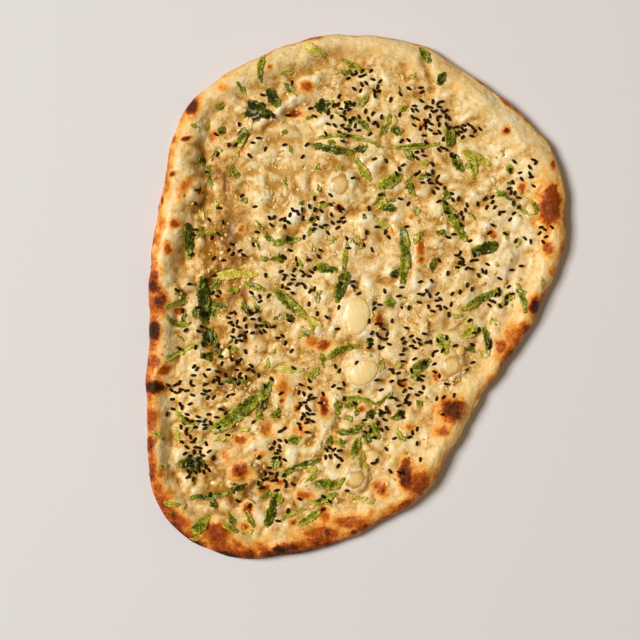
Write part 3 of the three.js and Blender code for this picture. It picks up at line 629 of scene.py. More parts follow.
# painted shade: over this many millimetres of hollow the dough runs from its darkest colour to its palest
CREASE_SHADE_SPAN = 2.4  # millimetres from the deepest colour to the palest
RIM_EVENNESS = 0.35  # how much less mottled the puffed rim is than the middle
# x, y, half width and half height in millimetres of the places where butter stands; the pools along the
# valley inside the left rim and the one in the upper left fold, at -45, 79, are also painted shade
BUTTER_AND_SHADE_POOLS = [
    (47, -38, 9, 7), (40, -12, 7, 8), (-70, -8, 4, 10), (-69, -93, 7, 3), (-31, -91, 5, 3),
    (-72, 50, 2.5, 12), (-36, 56, 8, 10), (-2, 26, 7, 5), (60, 20, 6, 5), (-8, 66, 8, 5), (30, 60, 8, 6),
    (-50, -12, 5, 8), (-45, 79, 13, 5), (-72, 20, 4, 10), (-70, -22, 4, 8),
]
# x, y, half width and half height in millimetres of broad places, and how much painted shade they get; a
# negative amount is painted light
PAINTED_SHADE_AND_LIGHT = [
    (-64, 22, 15, 66, 0.3), (-60, -50, 13, 34, 0.18), (-55, -90, 28, 13, 0.32), (28, 97, 15, 12, 0.08),
    (78, 82, 24, 30, -0.09), (72, 12, 18, 44, -0.18), (0, -6, 14, 24, -0.06), (-93, -20, 6, 80, -0.14),
]


def oval_distance(cx, cy, half_width, half_height, unevenness):
    """How far out each corner of the skin lies from an uneven oval's middle, as a share of its size."""
    out = np.hypot((x / MM - cx) / half_width, (y / MM - cy) / half_height)
    return out * (1 + unevenness * ragged)


calm = np.ones(len(x))
collar = np.zeros(len(x))
for n, collar_height in enumerate(COLLARS, 1):
    low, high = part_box(f"garlic_slice_{n}")
    slice_size = (high[0] - low[0] + high[1] - low[1]) / 2
    out = np.hypot(2 * x - low[0] - high[0], 2 * y - low[1] - high[1]) / slice_size
    calm = np.minimum(calm, smooth_step(*SLICE_CALM, out))
    near = 1 - smooth_step(1, COLLAR_REACH, out * (1 + 0.3 * ragged))
    collar = np.maximum(collar, collar_height * near)
collar *= 1 + COLLAR_UNEVEN * waves(x, y, 4.5 * MM, 33)
top_rise = (relief * calm + blisters) * edge_fade * MM
under_rise = UNDERSIDE_RELIEF * MM * pillows(x, y, 9 * MM, 20) * smooth_step(0, 12 * MM, depth)
skin_height = base + np.where(on_top, top_rise, under_rise)
move_corners(bread, np.column_stack([x, y, skin_height]))

levelled = bpy.data.objects.new("levelled", bread.data.copy())
bpy.context.scene.collection.objects.link(levelled)
modify(levelled, "SMOOTH", iterations=LEVELLING_ROUNDS, use_x=False, use_y=False)
hollow = (corners_of(levelled)[:, 2] - skin_height) / MM
bpy.data.objects.remove(levelled)
skin_height += collar * MM * on_top
move_corners(bread, np.column_stack([x, y, skin_height]))
pooled_and_shaded = np.zeros(len(x))
for pool in BUTTER_AND_SHADE_POOLS:
    pooled_and_shaded = np.maximum(pooled_and_shaded, 1 - smooth_step(0.6, 1.3, oval_distance(*pool, 0.5)))
# painted shade and painted light over broad places: darker behind the left rim and at the lower left, paler
# on the right and on the left rim's inner slope, which the lamp leaves in shade
painted_shade = np.zeros(len(x))
for *place, darker in PAINTED_SHADE_AND_LIGHT:
    painted_shade += darker * (1 - smooth_step(0.3, 1.2, oval_distance(*place, 0.3)))
pool_depth = hollow + POOL_DEEPER * pooled_and_shaded + 0.35 * waves(x, y, 16 * MM, 12)
# the butter's golden colour, which in the valley inside the left rim and in the upper left fold is partly
# painted shade
butter = smooth_step(*POOL_DEPTHS, pool_depth) * middle * on_top


def paint(obj, name, values):
    """Stores one number per corner, which a material reads by its name."""
    layer = obj.data.attributes.new(name, "FLOAT", "POINT")
    layer.data.foreach_set("value", np.asarray(values, dtype=np.float32))


paint(bread, "scorch", heat)
paint(bread, "butter", butter)
paint(bread, "evenness", 1 - RIM_EVENNESS * (1 - middle))
# painted shade level: darker in hollows and in the places of painted shade, paler on lump tops, in the places
# of painted light and on the swollen collars
paint(bread, "level", np.clip(0.5 - hollow / CREASE_SHADE_SPAN - painted_shade + COLLAR_PALER * collar, 0, 1))
activate(bread)
bpy.ops.object.shade_smooth()
print("butter lies on", round(100 * float((butter[on_top] > 0.5).mean())), "per cent of the top")

# %% [markdown]
# ## The crust's material
# Baked dough is cream where it stayed pale, with faint golden clouds, small brown pricks and pale curds, and
# it darkens with heat. Noise is added to the heat before the colour ramp, so that a toasted place breaks up
# into pimples and specks. Where butter lies the crust turns golden and glossy, and where it is charred it
# goes dull. The finest pores are bump, because they are far smaller than the faces.

# %% Bake the crust
BUTTERY = tone(190, 132, 38)
GOLDEN = tone(238, 178, 96)
PRICKED = tone(176, 116, 44)
WARM_GLINT = (1, 0.7, 0.36, 1)
GLOW_REACH = 0.002  # how far light travels under the surface
# the darkest end of the dough ramp is reached in the creases as painted shade, the palest on the tops of the
# lumps
DOUGH_TONES = [
    (0, tone(132, 80, 14)), (0.25, tone(206, 154, 66)), (0.5, tone(238, 205, 136)),
    (0.75, tone(248, 227, 172)), (1, tone(255, 246, 214)),
]
TOASTED_TONES = [
    (0.2, tone(250, 210, 134)), (0.34, tone(242, 178, 84)), (0.46, tone(222, 134, 40)),
    (0.58, tone(186, 86, 8)), (0.72, tone(142, 52, 0)), (0.86, tone(86, 26, 0)), (1, tone(34, 8, 0)),
]

crust = Shader("baked_crust", Subsurface_Weight=0.1, Subsurface_Scale=GLOW_REACH,
               Subsurface_Radius=(1, 0.65, 0.4), Coat_Roughness=0.22, Specular_Tint=WARM_GLINT)
heat_wire = crust.attribute("scorch")
butter_wire = crust.attribute("butter")
# the painted shade of creases and broad places, and the paler lump tops
level = crust.attribute("level")
clouds = crust.grain(13 * MM, 3)
fleck = crust.grain(1.6 * MM, 3)
pores = crust.grain(0.55 * MM, 2)
specks = crust.grain(1.1 * MM, 2).between(0.58, 0.72)
pricks = (1 - crust.cells(1.5 * MM).between(0.1, 0.34)) * crust.grain(8 * MM, 2).between(0.45, 0.62)
curd = crust.cells(3.2 * MM).between(0.15, 0.75)

mottle = (clouds - 0.5) * 0.85 + (fleck - 0.5) * 0.65 + (pores - 0.5) * 0.75 + (0.5 - curd) * 0.2
paleness = (level - 0.5) * 1.3 + 0.5 + mottle * crust.attribute("evenness")
dough = crust.ramp(paleness, DOUGH_TONES)
dough = crust.blend(crust.grain(24 * MM, 2).between(0.5, 0.74) * 0.27, dough, GOLDEN)
dough = crust.blend(pricks * 0.55, dough, PRICKED)
dough = crust.blend(butter_wire * fleck.between(0.15, 0.55) * 0.8, dough, BUTTERY)

uneven = heat_wire * 1.04 + (fleck - 0.5) * heat_wire.between(0.1, 0.4) * 0.45
uneven = uneven + specks * heat_wire.between(0.3, 0.5) * 0.22
singed = (1 - crust.cells(2.9 * MM).between(0.08, 0.3)) * crust.grain(19 * MM, 2).between(0.5, 0.62)
uneven = uneven + singed * level.between(0.45, 0.8) * 0.4
toasted = crust.ramp(uneven, TOASTED_TONES)
colour = crust.blend(uneven.between(0.1, 0.36), dough, toasted)

dullness = 0.62 - butter_wire * 0.36 + uneven.between(0.6, 0.9) * 0.1 + (fleck - 0.5) * 0.2
butter_film = 0.18 - uneven.between(0.45, 0.75) * 0.16 + butter_wire * 0.22
patchy = crust.grain(17 * MM, 2).between(0.42, 0.6)
grain_height = crust.grain(3 * MM, 1) * 0.6 - curd * 0.2 + (fleck * 0.4 + pores * 0.5) * (0.3 + patchy)
crust_material = crust.feed(Base_Color=colour, Roughness=dullness, Coat_Weight=butter_film,
                            Normal=crust.bump(grain_height, 0.7 * MM))
bread.data.materials.append(crust_material)
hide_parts("bread")
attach(bread, "root")
print("crust baked with", len(crust.tree.nodes), "nodes")

# %% [markdown]
# ## Finding the surface again
# Everything else lies on this skin. A ray dropped from above finds its height at any place, and pieces that
# are laid later can be added to what the rays see.

# %% Heights from above
MISSED = 3.5 * MM  # the height taken for a place that no ray finds


def tree_of(objects):
    """The faces of some objects, made ready for rays."""
    corners, faces, first = [], [], 0
    for obj in objects:
        own = corners_of(obj)
        corners.extend(map(tuple, own))
        faces.extend([first + n for n in face.vertices] for face in obj.data.polygons)
        first += len(own)
    return BVHTree.FromPolygons(corners, faces)


def hit_from_above(tree, x, y):
    """The highest point of the faces at one place, or nothing."""
    return tree.ray_cast(Vector((x, y, ABOVE)), DOWN)[0]


def height_over(tree, x, y):
    """How high the faces lie at each place."""
    hits = [hit_from_above(tree, a, b) for a, b in zip(x, y)]
    return np.array([hit.z if hit else MISSED for hit in hits])


skin_tree = tree_of([bread])
print("the middle is", round(float(height_over(skin_tree, [0], [0])[0]) / MM, 1), "mm high")

# %% [markdown]
# ## Slices of garlic
# Five slices of roasted garlic are large enough to be pieces of their own. Each starts as a copy of its
# solid, whose loose triangles are merged, and Subdivision rounds its rim. A clove shrinks unevenly as it
# cooks, so the outline is then pushed in and out a little, and the top face gets the low ridges of the clove.
#
# Two slices lie on the crust, ivory with a thin golden rim, which is partly painted shade at the edge. The
# other three soaked up butter, which makes them clear and golden, and their rims are half hidden in the
# dough.

# %% Cook the garlic slices
SLICES = range(1, 6)
SLICE_ROUNDS = 3
OUTLINE_STEPS = 25
OUTLINE_REACH = 0.3  # each step looks this far round for the outline, in radians
SLICE_WOBBLE = 0.45 * MM
SLICE_RIDGE = 0.16 * MM
SLICE_DOME = 0.8 * MM
CLEFT_SLICE = 1  # the largest slice is split
CLEFT = ((-4.6, -12.6), (-3.4, -15.8))  # from here to there, in millimetres
CLEFT_DEPTH = 0.8 * MM
CLEFT_SIDES = (0.1 * MM, 0.8 * MM)
SOAKED_SHARES = [0, 0.12, 0.9, 0.75, 0.85]  # how much butter each slice drank
# a slice's golden rim is partly painted shade at its edge
RIM_SHARES = (0.7, 1)  # where a slice's golden rim starts and is full, as shares of its radius
SUNKEN_RIM_SHARES = (0.4, 0.85)  # the same where dough has swollen over the outermost part


def copy_of_solid(node_name, piece_name):
    """A copy of one solid with its triangles joined at their corners."""
    piece = bpy.data.objects.new(piece_name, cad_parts[node_name].data.copy())
    bpy.context.scene.collection.objects.link(piece)
    piece.data.materials.clear()
    activate(piece)
    bpy.ops.object.mode_set(mode="EDIT")
    bpy.ops.mesh.select_all(action="SELECT")
    bpy.ops.mesh.remove_doubles(threshold=0.02 * MM)
    bpy.ops.object.mode_set(mode="OBJECT")
    return piece


def cook_slice(number):
    """One slice of garlic, shrunk and ridged over its solid."""
    piece = copy_of_solid(f"garlic_slice_{number}", f"cooked_garlic_{number}")
    modify(piece, "SUBSURF", levels=SLICE_ROUNDS, render_levels=SLICE_ROUNDS)
    spots = corners_of(piece)
    heart = (spots.min(axis=0) + spots.max(axis=0)) / 2
    away = spots[:, :2] - heart[:2]
    turn, out = np.arctan2(away[:, 1], away[:, 0]), np.hypot(*away.T)
    steps = np.linspace(-math.pi, math.pi, OUTLINE_STEPS)
    gaps = [np.abs((turn - step + math.pi) % (2 * math.pi) - math.pi) for step in steps]
    reach = [out[gap < OUTLINE_REACH].max() for gap in gaps]
    outline = np.interp(turn, steps, reach, period=2 * math.pi)
    share = np.clip(out / outline, 0, 1)
    wobbled = outline + SLICE_WOBBLE * waves(np.cos(turn), np.sin(turn), 1, number)
    spots[:, :2] = heart[:2] + away * (wobbled / outline)[:, None]
    sx, sy = spots[:, 0], spots[:, 1]
    raised = smooth_step(heart[2], spots[:, 2].max(), spots[:, 2])
    spots[:, 2] -= SLICE_DOME * raised * share ** 3
    spots[:, 2] += SLICE_RIDGE * raised * waves(sx, 0.4 * sy, 2.4 * MM, number)
    if number == CLEFT_SLICE:
        split = 1 - smooth_step(*CLEFT_SIDES, line_distance(sx, sy, *CLEFT))
        spots[:, 2] -= CLEFT_DEPTH * raised * split
    move_corners(piece, spots)
    soaked = SOAKED_SHARES[number - 1]
    rim_shares = SUNKEN_RIM_SHARES if soaked > 0.5 else RIM_SHARES
    paint(piece, "rim", smooth_step(*rim_shares, share))
    paint(piece, "soaked", np.full(len(piece.data.vertices), soaked))
    bpy.ops.object.shade_smooth()
    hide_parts(f"garlic_slice_{number}")
    return piece


garlic_slices = [cook_slice(number) for number in SLICES]
print("the largest slice has", len(garlic_slices[0].data.polygons), "faces")

# %% [markdown]
# Cooked garlic is ivory and a little glassy: light goes into it and comes out yellow. Subsurface light does
# that. A slice's rim is painted golden, partly the colour of the thin flesh and partly painted shade at its
# edge; the face gets pale fibres and a deeper gold where it soaked up butter. The chopped garlic gets the
# same flesh, with its golden tint in patches.

# %% Finish the garlic
IVORY = tone(255, 228, 160)
GOLD_RIM = tone(240, 190, 96)
SOAKED = tone(238, 207, 134)
PALE_FIBRE = tone(255, 240, 196)


def garlic_finish(name, sliced):
    """Cooked garlic's material. Only slices have painted rims and drank butter."""
    flesh = Shader(name, Subsurface_Weight=0.15, Subsurface_Scale=GLOW_REACH,
                   Subsurface_Radius=(1, 0.6, 0.25), Coat_Weight=0.2, Coat_Roughness=0.2)
    fibre = flesh.grain(1.6 * MM, 3)
    shade = flesh.grain(4.5 * MM, 2).between(0.3, 0.6)
    if sliced:
        # on a slice the golden tint follows its rim: partly the thin flesh's colour, partly painted shade at
        # the edge
        shade = flesh.attribute("rim") * 0.8 + shade * 0.2
    colour = flesh.blend(shade * 0.9, IVORY, GOLD_RIM)
    if sliced:
        colour = flesh.blend(flesh.attribute("soaked"), colour, flesh.blend(shade, SOAKED, BUTTERY))
    colour = flesh.blend(fibre.between(0.55, 0.8) * 0.35, colour, PALE_FIBRE)
    return flesh.feed(Base_Color=colour, Roughness=0.42 - fibre * 0.16, Normal=flesh.bump(fibre, 0.2 * MM))


sliced_flesh = garlic_finish("garlic_slice_flesh", sliced=True)
for piece in garlic_slices:
    piece.data.materials.append(sliced_flesh)
    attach(piece, "root")
print("garlic finished")

# %% [markdown]
# ## Shreds of coriander
# A shred is a thin cut of leaf which wilts onto the hot bread: its edges are ragged and curl up, and it
# follows the lumps below. For each solid only the upward faces are kept and cut finer. The sheet is pinched
# and widened along its length, its edge is torn and toothed, and it is dropped onto the skin and given the
# thickness of a leaf. Whole leaves are notched between their lobes first. All shreds become one mesh, which
# replaces their solids, and all leaves another.

# %% Tools for leaves
LEAF_CUTS = 4
UPWARD = 0.35  # faces that look up less than this are left out
LEAF_LIFT = 0.3 * MM
LEAST_LIFT = 0.12 * MM  # the least height over the skin, before the sheet gets its thickness
LEAF_SHEET = 0.3 * MM
TORN = 0.6 * MM
TORN_REACH = 1.2 * MM  # tears and teeth fade out over this distance from a cutting's rim
TEETH = 0.5 * MM
TOOTH_STEP = 1.7 * MM
CRINKLE = 0.3 * MM
CUP = 0.8 * MM  # how far the edges stand above the middle
TILT = 0.7 * MM  # how far one edge stands above the other
LEAFY_HALF_WIDTH = 2.2 * MM  # narrower cuttings are stems, with small teeth or none
PINCH = 0.42  # how much a cutting's width changes along it, as a share of the width
LOBES = 5
NOTCH = 0.3  # how deep the notches between a leaf's lobes go, as a share of the way in


def cut_leaf_from(node_name):
    """The upper side of a leaf's solid, cut into fine faces."""
    piece = copy_of_solid(node_name, "cutting")
    for face in piece.data.polygons:
        face.select = face.normal.z < UPWARD
    bpy.ops.object.mode_set(mode="EDIT")
    bpy.ops.mesh.delete(type="FACE")
    bpy.ops.mesh.select_all(action="SELECT")
    bpy.ops.mesh.subdivide(number_cuts=LEAF_CUTS)
    bpy.ops.object.mode_set(mode="OBJECT")
    return piece


def rim_distance(obj):
    """How far each corner lies from the sheet's own rim."""
    mesh = bmesh.new()
    mesh.from_mesh(obj.data)
    rim = [v.co.copy() for v in mesh.verts if v.is_boundary]
    mesh.free()
    finder = KDTree(len(rim))
    for n, spot in enumerate(rim):
        finder.insert((spot.x, spot.y, 0), n)
    finder.balance()
    return np.array([finder.find((a, b, 0))[2] for a, b in corners_of(obj)[:, :2]])


def leaf_lines(spots):
    """Where each corner lies along and across its cutting (-1 to 1), the way across, and the half width."""
    flat = spots[:, :2] - spots[:, :2].mean(axis=0)
    axes = np.linalg.svd(flat, full_matrices=False)[2]
    along, across = (flat @ axes.T).T
    side = across - np.polyval(np.polyfit(along, across, 2), along)
    half_width = np.abs(side).max()
    return along, side / half_width, axes[1], half_width


def notch_leaf(obj, seed):
    """Draws the rim of a leaf in between its lobes."""
    spots = corners_of(obj)
    away = spots[:, :2] - spots[:, :2].mean(axis=0)
    share = np.hypot(*away.T) / np.hypot(*away.T).max()
    notch = np.abs(np.sin(LOBES * np.arctan2(away[:, 1], away[:, 0]) / 2 + seed)) ** 5
    spots[:, :2] -= away * (NOTCH * notch * smooth_step(0.15, 0.7, share))[:, None]
    move_corners(obj, spots)


def wilt(obj, tint, seed, torn):
    """Lays a flat cutting on the skin as a wilted leaf."""
    spots = corners_of(obj)
    inside = rim_distance(obj)
    along, side, outwards, half_width = leaf_lines(spots)
    leafy = min(1, half_width / LEAFY_HALF_WIDTH)
    thin = 1 - smooth_step(0, TORN_REACH, inside)
    pinch = PINCH * waves(along, 0 * along, 5 * MM, seed + 13) * side * half_width
    spots[:, :2] += pinch[:, None] * outwards
    a, b = spots[:, :2].T.copy()
    for axis in range(2):
        spots[:, axis] += torn * thin * waves(a, b, 2 * MM, seed + 3 * axis + 1)
    teeth = np.abs(np.sin(math.pi * along / TOOTH_STEP + seed)) * thin * np.sign(side)
    spots[:, :2] += TEETH * leafy * teeth[:, None] * outwards
    a, b = spots[:, 0], spots[:, 1]
    height = height_over(skin_tree, a, b)
    lean = smooth_step(-0.3, 0.3, waves(a, b, 9 * MM, seed + 9)) * 2 - 1
    rise = LEAF_LIFT + CRINKLE * waves(a, b, 3.6 * MM, seed + 7)
    rise += leafy * (CUP * side ** 2 + TILT * side * lean)
    spots[:, 2] = height + np.maximum(rise, LEAST_LIFT)
    move_corners(obj, spots)
    paint(obj, "tint", tint + 0.3 * waves(a, b, 6 * MM, seed + 11) + 0.16 * side * lean)
    paint(obj, "inside", np.clip(inside / MM, 0, 1))
    paint(obj, "rib", 1 - smooth_step(0.06, 0.24, np.abs(side)))
    modify(obj, "SOLIDIFY", thickness=LEAF_SHEET, offset=0)
    return obj


def join_as(name, pieces):
    """Makes one smooth object of several."""
    activate(pieces[0])
    for piece in pieces:
        piece.select_set(True)
    bpy.ops.object.join()
    joined = bpy.context.object
    joined.name = name
    bpy.ops.object.shade_smooth()
    return joined


print("leaf tools ready")

# %% Wilt the shreds and leaves
# how yellow a cutting is: 0 dark green, 0.35 fresh green, 0.7 light green, 1 yellow
USUAL_TINT = 0.36
SHRED_TINTS = {
    1: 0.38, 3: 0.84, 4: 0.5, 5: 0.1, 6: 0.32, 7: 0.32, 8: 0.12, 9: 0.55, 10: 0.42, 11: 0.16, 12: 0.2,
    13: 0.92, 15: 0.2, 17: 0.2, 18: 0.3, 19: 0.06, 20: 0.22, 21: 0.25, 23: 0.42, 25: 0.2, 27: 0.28, 28: 0.5,
    30: 0.12, 31: 0.42, 33: 0.46, 34: 0.2, 35: 0.18, 36: 0.6, 38: 0.42, 39: 0.1, 40: 0.44, 43: 0.12, 44: 0.26,
    45: 0.14, 47: 0.2, 48: 0.28,
}
LEAF_TINTS = {1: 0.02, 2: 0.0, 3: 0.22, 4: 0.55}
SHRED_NODES = sorted(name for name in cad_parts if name.startswith("coriander_shred"))
LEAF_NODES = sorted(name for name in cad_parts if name.startswith("coriander_leaf"))


def wilted(node_name, tints, is_leaf):
    """The wilted leaf or shred that lies where its solid does."""
    number = int(node_name.split("_")[-1])
    cutting = cut_leaf_from(node_name)
    if is_leaf:
        notch_leaf(cutting, number)
    return wilt(cutting, tints.get(number, USUAL_TINT), 20 * number, TORN)


shreds = join_as("coriander_shreds", [wilted(name, SHRED_TINTS, False) for name in SHRED_NODES])
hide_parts(*SHRED_NODES)
leaves = join_as("coriander_leaves", [wilted(name, LEAF_TINTS, True) for name in LEAF_NODES])
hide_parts(*LEAF_NODES)
print("shreds have", len(shreds.data.polygons), "faces, leaves", len(leaves.data.polygons))

# %% [markdown]
# ## Small bits of coriander
# The knife leaves many smaller bits between the shreds. Each is cut as a strip with pointed ends, bent and
# turned into its place, then torn twice as deeply as the shreds and wilted as they are. The smallest flecks
# are only a millimetre or two long and fall anywhere.

